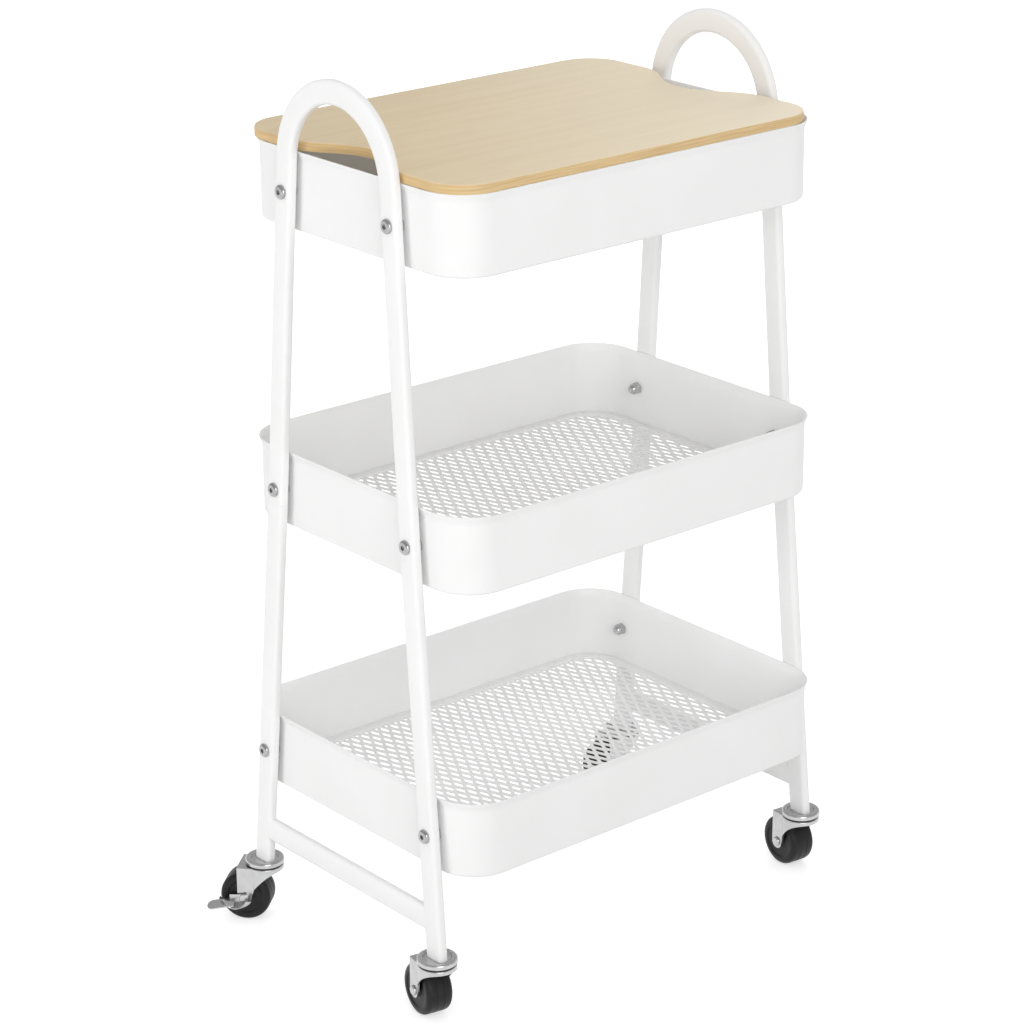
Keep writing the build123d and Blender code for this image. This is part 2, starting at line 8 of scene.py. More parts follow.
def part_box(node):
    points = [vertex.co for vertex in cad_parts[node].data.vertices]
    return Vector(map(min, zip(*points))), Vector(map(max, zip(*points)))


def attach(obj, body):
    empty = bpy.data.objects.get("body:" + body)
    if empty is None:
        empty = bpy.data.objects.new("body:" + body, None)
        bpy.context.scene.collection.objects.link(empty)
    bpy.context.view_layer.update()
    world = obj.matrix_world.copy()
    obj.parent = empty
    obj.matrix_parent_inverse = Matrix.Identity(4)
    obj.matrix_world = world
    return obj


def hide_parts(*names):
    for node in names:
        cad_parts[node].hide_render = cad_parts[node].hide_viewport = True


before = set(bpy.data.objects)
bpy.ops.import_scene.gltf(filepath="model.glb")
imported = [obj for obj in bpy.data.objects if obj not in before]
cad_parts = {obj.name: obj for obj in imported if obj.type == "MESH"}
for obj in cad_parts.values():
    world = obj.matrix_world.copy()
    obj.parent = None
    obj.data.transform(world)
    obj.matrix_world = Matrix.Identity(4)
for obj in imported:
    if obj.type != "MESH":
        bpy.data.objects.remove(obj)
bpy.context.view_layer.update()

# Studio: a plain pale floor inside an even white surround, with broad soft lamps in front of the cart and
# behind it, and a smaller low one to its left. The floor reads as white and keeps the cart's shadow.
# Bright metal mirrors the floor from below, a dimmer ceiling from above, and the front lamp alone.
FLOOR_HALF = 9.0
FLOOR_WHITE = (0.66, 0.66, 0.66, 1.0)
FLOOR_LIFT = 0.56
SURROUND_LOW = 0.66
SURROUND_HIGH = 0.80
MIRRORED_LOW = 1.0
MIRRORED_HIGH = 0.55
MIRRORED_RISE = 0.30
FRONT_POWER = 33.0
LEFT_POWER = 19.0
BACK_POWER = 30.0
BROAD_LAMP = 1.8
LOW_LAMP = 1.0
FRONT_PLACE = (-1.3, -2.9, 1.5)
LEFT_PLACE = (-3.0, 0.4, 0.55)
BACK_PLACE = (2.2, 2.3, 1.9)
LAMP_AIM = Vector((0, 0, 0.4))


def seen_directly(tree):
    """One where a ray comes from the camera or from bright metal or glass, else zero."""
    path = tree.nodes.new("ShaderNodeLightPath")
    mirrored = tree.nodes.new("ShaderNodeMath")
    mirrored.operation = "MAXIMUM"
    tree.links.new(path.outputs["Is Glossy Ray"], mirrored.inputs[0])
    tree.links.new(path.outputs["Is Transmission Ray"], mirrored.inputs[1])
    seen = tree.nodes.new("ShaderNodeMath")
    seen.operation = "MAXIMUM"
    tree.links.new(path.outputs["Is Camera Ray"], seen.inputs[0])
    tree.links.new(mirrored.outputs[0], seen.inputs[1])
    return seen.outputs[0]


floor_paint = bpy.data.materials.new("studio_floor")
floor_paint.use_nodes = True
floor_tree = floor_paint.node_tree
floor_tree.nodes.remove(floor_tree.nodes["Principled BSDF"])
floor_matt = floor_tree.nodes.new("ShaderNodeBsdfDiffuse")
floor_matt.inputs["Color"].default_value = FLOOR_WHITE
floor_glow = floor_tree.nodes.new("ShaderNodeEmission")
floor_lift = floor_tree.nodes.new("ShaderNodeMath")
floor_lift.operation = "MULTIPLY"
floor_lift.inputs[1].default_value = FLOOR_LIFT
floor_tree.links.new(seen_directly(floor_tree), floor_lift.inputs[0])
floor_tree.links.new(floor_lift.outputs[0], floor_glow.inputs["Strength"])
floor_sum = floor_tree.nodes.new("ShaderNodeAddShader")
floor_tree.links.new(floor_matt.outputs[0], floor_sum.inputs[0])
floor_tree.links.new(floor_glow.outputs[0], floor_sum.inputs[1])
floor_tree.links.new(floor_sum.outputs[0], floor_tree.nodes["Material Output"].inputs["Surface"])

floor_bm = bmesh.new()
bmesh.ops.create_grid(floor_bm, x_segments=1, y_segments=1, size=FLOOR_HALF)
floor_mesh = bpy.data.meshes.new("studio_floor")
floor_bm.to_mesh(floor_mesh)
floor_bm.free()
floor_mesh.materials.append(floor_paint)
floor = bpy.data.objects.new("studio_floor", floor_mesh)
bpy.context.scene.collection.objects.link(floor)

surround = bpy.data.worlds.new("white_surround")
surround.use_nodes = True
sky = surround.node_tree
sky_height = sky.nodes.new("ShaderNodeSeparateXYZ")
sky.links.new(sky.nodes.new("ShaderNodeTexCoord").outputs["Generated"], sky_height.inputs[0])
sky_seen = sky.nodes.new("ShaderNodeBackground")
for backdrop, top, low, high in ((sky.nodes["Background"], 1.0, SURROUND_LOW, SURROUND_HIGH),
                                 (sky_seen, MIRRORED_RISE, MIRRORED_LOW, MIRRORED_HIGH)):
    sky_fade = sky.nodes.new("ShaderNodeMapRange")
    sky_fade.inputs["From Min"].default_value = 0.0
    sky_fade.inputs["From Max"].default_value = top
    sky_fade.inputs["To Min"].default_value = low
    sky_fade.inputs["To Max"].default_value = high
    sky.links.new(sky_height.outputs["Z"], sky_fade.inputs["Value"])
    sky.links.new(sky_fade.outputs["Result"], backdrop.inputs["Strength"])
    backdrop.inputs["Color"].default_value = (1.0, 1.0, 1.0, 1.0)
sky_mix = sky.nodes.new("ShaderNodeMixShader")
sky.links.new(seen_directly(sky), sky_mix.inputs["Fac"])
sky.links.new(sky.nodes["Background"].outputs[0], sky_mix.inputs[1])
sky.links.new(sky_seen.outputs[0], sky_mix.inputs[2])
sky.links.new(sky_mix.outputs[0], sky.nodes["World Output"].inputs["Surface"])
bpy.context.scene.world = surround

for lamp_name, power, size, place in (("front_lamp", FRONT_POWER, BROAD_LAMP, FRONT_PLACE),
                                      ("left_lamp", LEFT_POWER, LOW_LAMP, LEFT_PLACE),
                                      ("back_lamp", BACK_POWER, BROAD_LAMP, BACK_PLACE)):
    lamp_light = bpy.data.lights.new(lamp_name, "AREA")
    lamp_light.shape = "SQUARE"
    lamp_light.size = size
    lamp_light.energy = power
    lamp = bpy.data.objects.new(lamp_name, lamp_light)
    lamp.location = place
    lamp.visible_glossy = lamp_name == "front_lamp"
    lamp.rotation_euler = (LAMP_AIM - lamp.location).to_track_quat("-Z", "Y").to_euler()
    bpy.context.scene.collection.objects.link(lamp)

# Camera: a long lens that looks down on the cart's front and left end, from the photograph's place.
# Colours are shown as they are, without a film curve.
LENS = 111.12
SENSOR_WIDTH = 36.0
LENS_SHIFT = (-0.0012, 0.0013)
CAMERA_PLACE = (-1.63571, -1.91149, 1.30536)
CAMERA_AZIMUTH = math.radians(-40.12)
CAMERA_TIP = math.radians(90.0 - 20.63)
CAMERA_ROLL = math.radians(-0.34)

camera_lens = bpy.data.cameras.new("photo_camera")
camera_lens.lens = LENS
camera_lens.sensor_width = SENSOR_WIDTH
camera_lens.shift_x, camera_lens.shift_y = LENS_SHIFT
camera = bpy.data.objects.new("photo_camera", camera_lens)
camera_turn = (Matrix.Rotation(CAMERA_AZIMUTH, 4, "Z") @ Matrix.Rotation(CAMERA_TIP, 4, "X")
               @ Matrix.Rotation(CAMERA_ROLL, 4, "Z"))
camera.matrix_world = Matrix.Translation(CAMERA_PLACE) @ camera_turn
bpy.context.scene.collection.objects.link(camera)
bpy.context.scene.camera = camera
bpy.context.scene.view_settings.view_transform = "Standard"

# Upper legs: at each end one length of flat-sided steel tube, bent into an arch that is the handle.
# The tube is powder-coated white, and bolts to the ends of the top and middle trays.
TUBE_WIDTH = 0.020
TUBE_THICKNESS = 0.009
TUBE_ROUNDING = 0.0036
TUBE_WALL = 0.001
TUBE_SEGMENTS = 5
ARCH_STEPS = 40
TOP_BOLT_INSET = 0.0726
BOTTOM_BOLT_INSET = 0.0439
BOLT_BELOW_RIM = 0.033
UPPER_SPLAY = math.radians(4.3)
LEG_JOINT_Z = 0.394
LEG_JOINT_GAP = 0.00005
RIM_TO_LEG = 0.0001
SHARP_ANGLE = math.radians(38.0)
MERGE = 1e-6
PAINT_SHADE = (0.885, 0.885, 0.881)
PAINT_LIGHT = (0.911, 0.911, 0.909)
PAINT_CLOUD = (14.0, 14.0, 14.0)
PAINT_PEEL = (700.0, 700.0, 700.0)
PAINT_ROUGHNESS = (0.36, 0.50)

rim_z = {tier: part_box(f"tray_{tier}")[1].z for tier in ("top", "middle", "bottom")}
half_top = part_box("tray_top")[1].x
half_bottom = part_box("tray_bottom")[1].x
lean = math.atan((half_bottom - half_top) / (rim_z["top"] - rim_z["bottom"]))
leg_plane_x = (half_top + RIM_TO_LEG + rim_z["top"] * math.tan(lean)
               + TUBE_THICKNESS / 2 / math.cos(lean))
top_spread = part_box("tray_top")[1].y - TOP_BOLT_INSET
bottom_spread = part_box("tray_bottom")[1].y - BOTTOM_BOLT_INSET
ENDS = {"left": -1, "right": 1}


def start_material(name):
    """A new node material: the material, its tree, its shader and the piece's own coordinates."""
    material = bpy.data.materials.new(name)
    material.use_nodes = True
    tree = material.node_tree
    place = tree.nodes.new("ShaderNodeTexCoord").outputs["Object"]
    return material, tree, tree.nodes["Principled BSDF"], place


def mottle(tree, place, stretch, detail=2.0):
    """Soft noise over the surface, with its grain per metre along each axis."""
    mapping = tree.nodes.new("ShaderNodeMapping")
    mapping.inputs["Scale"].default_value = stretch
    tree.links.new(place, mapping.inputs["Vector"])
    noise = tree.nodes.new("ShaderNodeTexNoise")
    noise.inputs["Scale"].default_value = 1.0
    noise.inputs["Detail"].default_value = detail
    tree.links.new(mapping.outputs["Vector"], noise.inputs["Vector"])
    return noise.outputs["Fac"]


def spread(tree, factor, low, high, start=0.3, end=0.7):
    """Stretch a pattern over a range of values."""
    stretch = tree.nodes.new("ShaderNodeMapRange")
    stretch.inputs["From Min"].default_value = start
    stretch.inputs["From Max"].default_value = end
    stretch.inputs["To Min"].default_value = low
    stretch.inputs["To Max"].default_value = high
    tree.links.new(factor, stretch.inputs["Value"])
    return stretch.outputs["Result"]


def tint(tree, factor, *stops):
    """Colours along a pattern, as (position, colour) stops."""
    ramp = tree.nodes.new("ShaderNodeValToRGB")
    bands = ramp.color_ramp.elements
    while len(bands) < len(stops):
        bands.new(0.5)
    for band, (position, colour) in zip(bands, stops):
        band.position = position
        band.color = (*colour, 1.0)
    tree.links.new(factor, ramp.inputs["Fac"])
    return ramp.outputs["Color"]


def roughen(tree, shader, height, strength, distance):
    """Fine relief on the surface."""
    bump = tree.nodes.new("ShaderNodeBump")
    bump.inputs["Strength"].default_value = strength
    bump.inputs["Distance"].default_value = distance
    tree.links.new(height, bump.inputs["Height"])
    tree.links.new(bump.outputs["Normal"], shader.inputs["Normal"])


white_paint, paint_tree, paint_shader, paint_place = start_material("white_powder_coat")
paint_cloud = mottle(paint_tree, paint_place, PAINT_CLOUD, 3.0)
paint_peel = mottle(paint_tree, paint_place, PAINT_PEEL)
paint_tree.links.new(tint(paint_tree, paint_cloud, (0.3, PAINT_SHADE), (0.7, PAINT_LIGHT)),
                     paint_shader.inputs["Base Color"])
paint_tree.links.new(spread(paint_tree, paint_peel, *PAINT_ROUGHNESS), paint_shader.inputs["Roughness"])
roughen(paint_tree, paint_shader, paint_peel, 0.10, 0.0002)


def outline(bm, corners):
    """A flat face through corner points, each cut back by its own reach into a smooth bend."""
    verts = [bm.verts.new(point) for point, _, _ in corners]
    bm.faces.new(verts)
    for vert, (_, reach, segments) in zip(verts, corners):
        if reach:
            bmesh.ops.bevel(bm, geom=[vert], offset=reach, offset_type="OFFSET", segments=segments,
                            profile=0.5, affect="VERTICES", material=-1)
    bm.faces.ensure_lookup_table()
    return bm.faces[0]


def everything(bm):
    """All the geometry of a mesh, as an operator takes it."""
    return bm.verts[:] + bm.edges[:] + bm.faces[:]


def verts_in(items):
    """The vertices among some mixed geometry."""
    return [item for item in items if isinstance(item, bmesh.types.BMVert)]


def verts_of(edges):
    """The vertices of some edges, each once and always in the same order."""
    return list(dict.fromkeys(vert for edge in edges for vert in edge.verts))


def edges_at(verts):
    """The edges that meet at some vertices, each once and always in the same order."""
    return list(dict.fromkeys(edge for vert in verts for edge in vert.link_edges))


def wire_of(bm, face):
    """The loop of edges round a face, with the face itself taken away."""
    edges = face.edges[:]
    bmesh.ops.delete(bm, geom=[face], context="FACES_ONLY")
    return edges


def draw_out(bm, edges, step):
    """Draw a row of edges on by one straight step and give the new row."""
    grown = bmesh.ops.extrude_edge_only(bm, edges=edges)["geom"]
    verts = verts_in(grown)
    bmesh.ops.translate(bm, verts=verts, vec=step)
    new = set(verts)
    return [item for item in grown if isinstance(item, bmesh.types.BMEdge) and set(item.verts) <= new]


def bend(bm, edges, centre, axis, angle, steps):
    """Carry a row of edges round a bend and give the last row."""
    last = bmesh.ops.spin(bm, geom=verts_of(edges) + edges, cent=centre, axis=axis, angle=angle,
                          steps=steps)["geom_last"]
    return [item for item in last if isinstance(item, bmesh.types.BMEdge)]


def soften(bm, edges, reach, segments):
    """Round off some edges."""
    bmesh.ops.bevel(bm, geom=edges, offset=reach, offset_type="OFFSET", segments=segments, profile=0.5,
                    affect="EDGES", material=-1)


def end_plane(side):
    """From an end frame's own plane (x across, y up the legs, z outwards) to the cart's."""
    outwards = Vector((side * math.cos(lean), 0, math.sin(lean)))
    across = Vector((0, side, 0))
    upwards = outwards.cross(across)
    turn = Matrix((across, upwards, outwards)).transposed().to_4x4()
    return Matrix.Translation((side * leg_plane_x, 0, 0)) @ turn


def tube_end(bm, place):
    """The tube's rounded oblong end, set square on its axis at a place of the end frame."""
    half_width = TUBE_WIDTH / 2
    half_thickness = TUBE_THICKNESS / 2
    face = outline(bm, [((x * half_width, 0, z * half_thickness), TUBE_ROUNDING, TUBE_SEGMENTS)
                        for x, z in ((-1, -1), (1, -1), (1, 1), (-1, 1))])
    bmesh.ops.transform(bm, matrix=place, verts=bm.verts)
    return wire_of(bm, face)


def join(bm, other):
    """Add another mesh to this one, and let the other go."""
    loose = bpy.data.meshes.new("loose")
    other.to_mesh(loose)
    other.free()
    bm.from_mesh(loose)
    bpy.data.meshes.remove(loose)


def hollow(bm, wall):
    """Give a skin its wall thickness, inwards."""
    bmesh.ops.remove_doubles(bm, verts=bm.verts, dist=MERGE)
    bmesh.ops.recalc_face_normals(bm, faces=bm.faces)
    bmesh.ops.solidify(bm, geom=bm.faces[:], thickness=wall)


def add_piece(name, bm, materials, body, slot, *nodes):
    """Make a finished mesh a piece that rides on a body and stands for its CAD nodes."""
    mesh = bpy.data.meshes.new(name)
    bm.to_mesh(mesh)
    bm.free()
    for material in materials:
        mesh.materials.append(material)
    mesh.polygons.foreach_set("use_smooth", [True] * len(mesh.polygons))
    mesh.set_sharp_from_angle(angle=SHARP_ANGLE)
    piece = bpy.data.objects.new(name, mesh)
    bpy.context.scene.collection.objects.link(piece)
    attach(piece, body)
    if nodes:
        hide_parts(*nodes)
    return piece


joint_up = LEG_JOINT_Z / math.cos(lean)
top_bolts_up = (rim_z["top"] - BOLT_BELOW_RIM) / math.cos(lean)
joint_spread = top_spread + (top_bolts_up - joint_up) * math.tan(UPPER_SPLAY)
bottom_bolts_up = (rim_z["bottom"] - BOLT_BELOW_RIM) / math.cos(lean)
lower_splay = math.atan((bottom_spread - joint_spread) / (joint_up - bottom_bolts_up))


def leg_across(height):
    """Half the distance between the two leg axes of one end, at a height up the leaning plane."""
    splay = UPPER_SPLAY if height >= joint_up else lower_splay
    return joint_spread + (joint_up - height) * math.tan(splay)


for end, side in ENDS.items():
    arch_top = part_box(f"upper_leg_{end}")[1].z / math.cos(lean) - TUBE_WIDTH / 2
    reach = leg_across(arch_top)
    arch_radius = math.cos(UPPER_SPLAY) * reach / (1 - math.sin(UPPER_SPLAY))
    arch_centre = Vector((0, arch_top - arch_radius, 0))
    foot_up = joint_up + LEG_JOINT_GAP / 2
    foot = Vector((-leg_across(foot_up), foot_up, 0))
    shoulder = arch_centre + arch_radius * Vector((-math.cos(UPPER_SPLAY), math.sin(UPPER_SPLAY), 0))
    bm = bmesh.new()
    row = tube_end(bm, Matrix.Translation(foot) @ Matrix.Rotation(-UPPER_SPLAY, 4, "Z"))
    row = draw_out(bm, row, shoulder - foot)
    row = bend(bm, row, arch_centre, (0, 0, -1), math.pi - 2 * UPPER_SPLAY, ARCH_STEPS)
    draw_out(bm, row, Vector((shoulder.x - foot.x, foot.y - shoulder.y, 0)))
    hollow(bm, TUBE_WALL)
    bmesh.ops.transform(bm, matrix=end_plane(side), verts=bm.verts)
    add_piece(f"handle_tube_{end}", bm, [white_paint], "frame", "white_paint", f"upper_leg_{end}")

# Lower legs: four straight lengths of the same tube, a little more splayed than the upper ones.
# Each is cut level at the foot and stands in the dished race of its caster.
ROWS = {"front": -1, "back": 1}

for end, side in ENDS.items():
    for row_name, row_side in ROWS.items():
        sign = side * row_side
        top = joint_up - LEG_JOINT_GAP / 2
        foot_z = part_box(f"lower_leg_{row_name}_{end}")[0].z
        low = foot_z / math.cos(lean) - TUBE_WIDTH / 2
        head = Vector((sign * leg_across(top), top, 0))
        toe = Vector((sign * leg_across(low), low, 0))
        bm = bmesh.new()
        row = tube_end(bm, Matrix.Translation(head) @ Matrix.Rotation(sign * lower_splay, 4, "Z"))
        draw_out(bm, row, toe - head)
        bmesh.ops.transform(bm, matrix=end_plane(side), verts=bm.verts)
        bmesh.ops.bisect_plane(bm, geom=everything(bm), plane_co=(0, 0, foot_z), plane_no=(0, 0, -1),
                               clear_outer=True)
        hollow(bm, TUBE_WALL)
        add_piece(f"leg_tube_{row_name}_{end}", bm, [white_paint], "frame", "white_paint",
                  f"lower_leg_{row_name}_{end}")

# Crossbars: one flat tube low down at each end, coped to the two lower legs and welded between them.
# They are painted with the legs.
BAR_HEIGHT = 0.020
WELD_DEPTH = 0.003

for end, side in ENDS.items():
    bar_low, bar_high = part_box(f"crossbar_{end}")
    bar_up = (bar_low.z + bar_high.z) / 2 / math.cos(lean)
    half_bar = leg_across(bar_up)
    bm = bmesh.new()
    face = outline(bm, [((-half_bar, y * BAR_HEIGHT / 2, z * TUBE_THICKNESS / 2), TUBE_ROUNDING,
                         TUBE_SEGMENTS) for y, z in ((-1, -1), (1, -1), (1, 1), (-1, 1))])
    bmesh.ops.translate(bm, verts=bm.verts, vec=(0, bar_up, 0))
    draw_out(bm, wire_of(bm, face), Vector((2 * half_bar, 0, 0)))
    for sign in (-1, 1):
        weld = Vector((sign * (half_bar - TUBE_WIDTH / 2 / math.cos(lower_splay) + WELD_DEPTH), bar_up, 0))
        along = Vector((sign * math.cos(lower_splay), math.sin(lower_splay), 0))
        bmesh.ops.bisect_plane(bm, geom=everything(bm), plane_co=weld, plane_no=along, clear_outer=True)
    hollow(bm, TUBE_WALL)
    bmesh.ops.transform(bm, matrix=end_plane(side), verts=bm.verts)
    add_piece(f"cross_tube_{end}", bm, [white_paint], "frame", "white_paint", f"crossbar_{end}")

# Leg inserts: bent sleeves that carry the upper legs on the lower ones, and plugs for the caster stems.
# They are dark moulded nylon, pressed into the tubes and hidden by them.
NYLON_SHADE = (0.014, 0.014, 0.015)
NYLON_LIGHT = (0.024, 0.024, 0.025)
NYLON_GRAIN = (900.0, 900.0, 900.0)
NYLON_ROUGHNESS = (0.38, 0.55)

dark_nylon, nylon_tree, nylon_shader, nylon_place = start_material("dark_nylon")
nylon_grain = mottle(nylon_tree, nylon_place, NYLON_GRAIN)
nylon_tree.links.new(tint(nylon_tree, nylon_grain, (0.35, NYLON_SHADE), (0.65, NYLON_LIGHT)),
                     nylon_shader.inputs["Base Color"])
nylon_tree.links.new(spread(nylon_tree, nylon_grain, *NYLON_ROUGHNESS), nylon_shader.inputs["Roughness"])
roughen(nylon_tree, nylon_shader, nylon_grain, 0.12, 0.0002)

for node in ("leg_sleeves", "leg_plugs"):
    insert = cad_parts[node]
    insert.data.materials.clear()
    insert.data.materials.append(dark_nylon)

# Trays: three deep-sided trays pressed from steel sheet, with rounded corners and a rim that flares out.
# Each has an inward flange at the bottom that carries its mesh floor, and is powder-coated white.
SHEET = 0.001
RIM_OVERHANG = 0.0025
RIM_HEIGHT = 0.006
RIM_EDGE = 0.0013
RIM_BEND = 0.0026
RIM_SOFTNESS = 0.0004
FOOT_BEND_OUTER = 0.0024
FOOT_BEND_INNER = 0.0014
TRAY_CORNER = 0.040
CORNER_STEPS = 14
FLANGE_WIDTH = 0.010


def go_round(bm, row, length, depth, corner, steps):
    """Carry a closed profile round a rectangle with rounded corners."""
    along = Vector((length - 2 * corner, 0, 0))
    across = Vector((0, depth - 2 * corner, 0))
    for step, x, y in ((across, 1, 1), (-along, -1, 1), (-across, -1, -1), (along, 1, -1)):
        row = draw_out(bm, row, step)
        row = bend(bm, row, (x * along.x / 2, y * across.y / 2, 0), (0, 0, 1), math.pi / 2, steps)
    bmesh.ops.remove_doubles(bm, verts=bm.verts, dist=MERGE)
    bmesh.ops.recalc_face_normals(bm, faces=bm.faces)


for tier in rim_z:
    tray_low, tray_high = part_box(f"tray_{tier}")
    length = tray_high.x - tray_low.x
    depth = tray_high.y - tray_low.y
    height = tray_high.z - tray_low.z
    wall = RIM_OVERHANG
    inside = wall + SHEET
    bm = bmesh.new()
    profile = [
        (inside + FLANGE_WIDTH, 0.0, 0.0, 1),
        (wall, 0.0, FOOT_BEND_OUTER, 5),
        (wall, height - RIM_HEIGHT, RIM_BEND, 6),
        (0.0, height, RIM_SOFTNESS, 2),
        (RIM_EDGE, height, RIM_SOFTNESS, 2),
        (inside, height - RIM_HEIGHT, RIM_BEND, 6),
        (inside, SHEET, FOOT_BEND_INNER, 4),
        (inside + FLANGE_WIDTH, SHEET, 0.0, 1),
    ]
    start_y = -(depth / 2 - TRAY_CORNER)
    face = outline(bm, [((length / 2 - inset, start_y, tray_low.z + z), reach, segments)
                        for inset, z, reach, segments in profile])
    go_round(bm, wire_of(bm, face), length, depth, TRAY_CORNER, CORNER_STEPS)
    add_piece(f"tray_shell_{tier}", bm, [white_paint], "frame", "white_paint", f"tray_{tier}")

# Mesh floors: sheets of expanded steel, slit and drawn into diamonds, with a plain border round the edge.
# Each lies on the bottom flange of its tray, is spot-welded there, and is painted with it.
DIAMOND_SHORT = 0.0110
DIAMOND_LONG = 0.0187
STRAND = 0.0029
STRAND_TILT = -0.0009
BORDER_WIDTH = 0.0105
BORDER_SOFTNESS = 0.0003
BORDER_COVER = 0.95
LATTICE_THICKNESS = 0.0004
LATTICE_MERGE = 1e-5
TRIM_CUTS = 28

for tier in rim_z:
    sheet_low, sheet_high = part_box(f"mesh_floor_{tier}")
    length = sheet_high.x - sheet_low.x
    depth = sheet_high.y - sheet_low.y
    corner = TRAY_CORNER - (half_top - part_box("mesh_floor_top")[1].x)
    lattice = bmesh.new()
    side_length = math.hypot(DIAMOND_SHORT, DIAMOND_LONG)
    gap_share = 1 - STRAND * side_length / (DIAMOND_SHORT * DIAMOND_LONG)
    rim = bmesh.ops.create_circle(lattice, cap_ends=False, segments=4, radius=1.0)["verts"]
    bmesh.ops.scale(lattice, verts=rim, vec=(DIAMOND_SHORT / 2, DIAMOND_LONG / 2, 1.0))
    gap_edges = draw_out(lattice, lattice.edges[:], Vector((0, 0, 0)))
    tilt = Matrix.Identity(4)
    tilt[2][0] = STRAND_TILT / (DIAMOND_SHORT / 2 * gap_share)
    shrink = Matrix.Diagonal((gap_share, gap_share, 1.0, 1.0))
    bmesh.ops.transform(lattice, matrix=tilt @ shrink, verts=verts_of(gap_edges))
    columns = math.ceil(length / DIAMOND_SHORT / 2)
    rows = math.ceil(depth / DIAMOND_LONG)
    cell = everything(lattice)
    for column in range(-columns, columns + 1):
        if column:
            copy = bmesh.ops.duplicate(lattice, geom=cell)["geom"]
            bmesh.ops.translate(lattice, verts=verts_in(copy), vec=(column * DIAMOND_SHORT, 0, 0))
    strip = everything(lattice)
    for row_number in range(-rows, rows + 1):
        if row_number:
            copy = bmesh.ops.duplicate(lattice, geom=strip)["geom"]
            shift = (DIAMOND_SHORT / 2 * (row_number % 2), row_number * DIAMOND_LONG / 2, 0)
            bmesh.ops.translate(lattice, verts=verts_in(copy), vec=shift)
    bmesh.ops.remove_doubles(lattice, verts=lattice.verts, dist=LATTICE_MERGE)
    trim = corner - BORDER_WIDTH * BORDER_COVER
    middle = Vector((length / 2 - corner, depth / 2 - corner, 0))
    for turn in range(TRIM_CUTS):
        angle = math.tau * turn / TRIM_CUTS
        facing = Vector((math.cos(angle), math.sin(angle), 0))
        corner_point = Vector((math.copysign(middle.x, facing.x), math.copysign(middle.y, facing.y), 0))
        bmesh.ops.bisect_plane(lattice, geom=everything(lattice), plane_co=corner_point + facing * trim,
                               plane_no=facing, clear_outer=True)
    bmesh.ops.recalc_face_normals(lattice, faces=lattice.faces)
    if sum(face.normal.z for face in lattice.faces) < 0:
        bmesh.ops.reverse_faces(lattice, faces=lattice.faces[:])
    bmesh.ops.solidify(lattice, geom=lattice.faces[:], thickness=LATTICE_THICKNESS)
    lattice_high = max(vert.co.z for vert in lattice.verts)
    bmesh.ops.translate(lattice, verts=lattice.verts, vec=(0, 0, sheet_high.z - lattice_high))
    bm = bmesh.new()
    start_y = -(depth / 2 - corner)
    border = [(0.0, sheet_low.z, 0.0), (0.0, sheet_high.z, BORDER_SOFTNESS),
              (BORDER_WIDTH, sheet_high.z, BORDER_SOFTNESS), (BORDER_WIDTH, sheet_low.z, 0.0)]
    face = outline(bm, [((length / 2 - inset, start_y, z), reach, 2) for inset, z, reach in border])
    go_round(bm, wire_of(bm, face), length, depth, corner, CORNER_STEPS)
    join(bm, lattice)
    add_piece(f"mesh_sheet_{tier}", bm, [white_paint], "frame", "white_paint", f"mesh_floor_{tier}")

# Tray bolts: twelve button-head socket bolts, dull zinc plated, one through each leg at each tray end.
# The heads bear on the outside of the legs.
HEAD_RADIUS = 0.0060
HEAD_HEIGHT = 0.0032
HEAD_DOME = 0.0022
HEAD_FOOT = 0.0003
SMALL_STEPS = 24
TURNED_SEGMENTS = 4
SOCKET_RADIUS = 0.0040 / math.sqrt(3)
SOCKET_DEPTH = 0.0018
BOLT_RADIUS = 0.0030
NUT_HEIGHT = 0.0050
SEAT_GAP = 0.00015
BRIGHT_SHADE = (0.50, 0.50, 0.505)
BRIGHT_LIGHT = (0.58, 0.58, 0.585)
BRIGHT_CLOUD = (90.0, 90.0, 90.0)
BRIGHT_GRAIN = (2600.0, 2600.0, 2600.0)
BRIGHT_ROUGHNESS = (0.20, 0.28)
DULL_SHADE = (0.38, 0.38, 0.385)
DULL_LIGHT = (0.46, 0.46, 0.465)
DULL_CLOUD = (160.0, 160.0, 160.0)
DULL_ROUGHNESS = (0.16, 0.24)

bright_zinc, zinc_tree, zinc_shader, zinc_place = start_material("bright_zinc")
zinc_cloud = mottle(zinc_tree, zinc_place, BRIGHT_CLOUD)
zinc_grain = mottle(zinc_tree, zinc_place, BRIGHT_GRAIN)
zinc_tree.links.new(tint(zinc_tree, zinc_cloud, (0.3, BRIGHT_SHADE), (0.7, BRIGHT_LIGHT)),
                    zinc_shader.inputs["Base Color"])
zinc_shader.inputs["Metallic"].default_value = 1.0
zinc_tree.links.new(spread(zinc_tree, zinc_cloud, *BRIGHT_ROUGHNESS), zinc_shader.inputs["Roughness"])
roughen(zinc_tree, zinc_shader, zinc_grain, 0.06, 0.0001)

dull_zinc, dull_tree, dull_shader, dull_place = start_material("dull_zinc")
dull_cloud = mottle(dull_tree, dull_place, DULL_CLOUD)
dull_tree.links.new(tint(dull_tree, dull_cloud, (0.3, DULL_SHADE), (0.7, DULL_LIGHT)),
                    dull_shader.inputs["Base Color"])
dull_shader.inputs["Metallic"].default_value = 1.0
dull_tree.links.new(spread(dull_tree, dull_cloud, *DULL_ROUGHNESS), dull_shader.inputs["Roughness"])


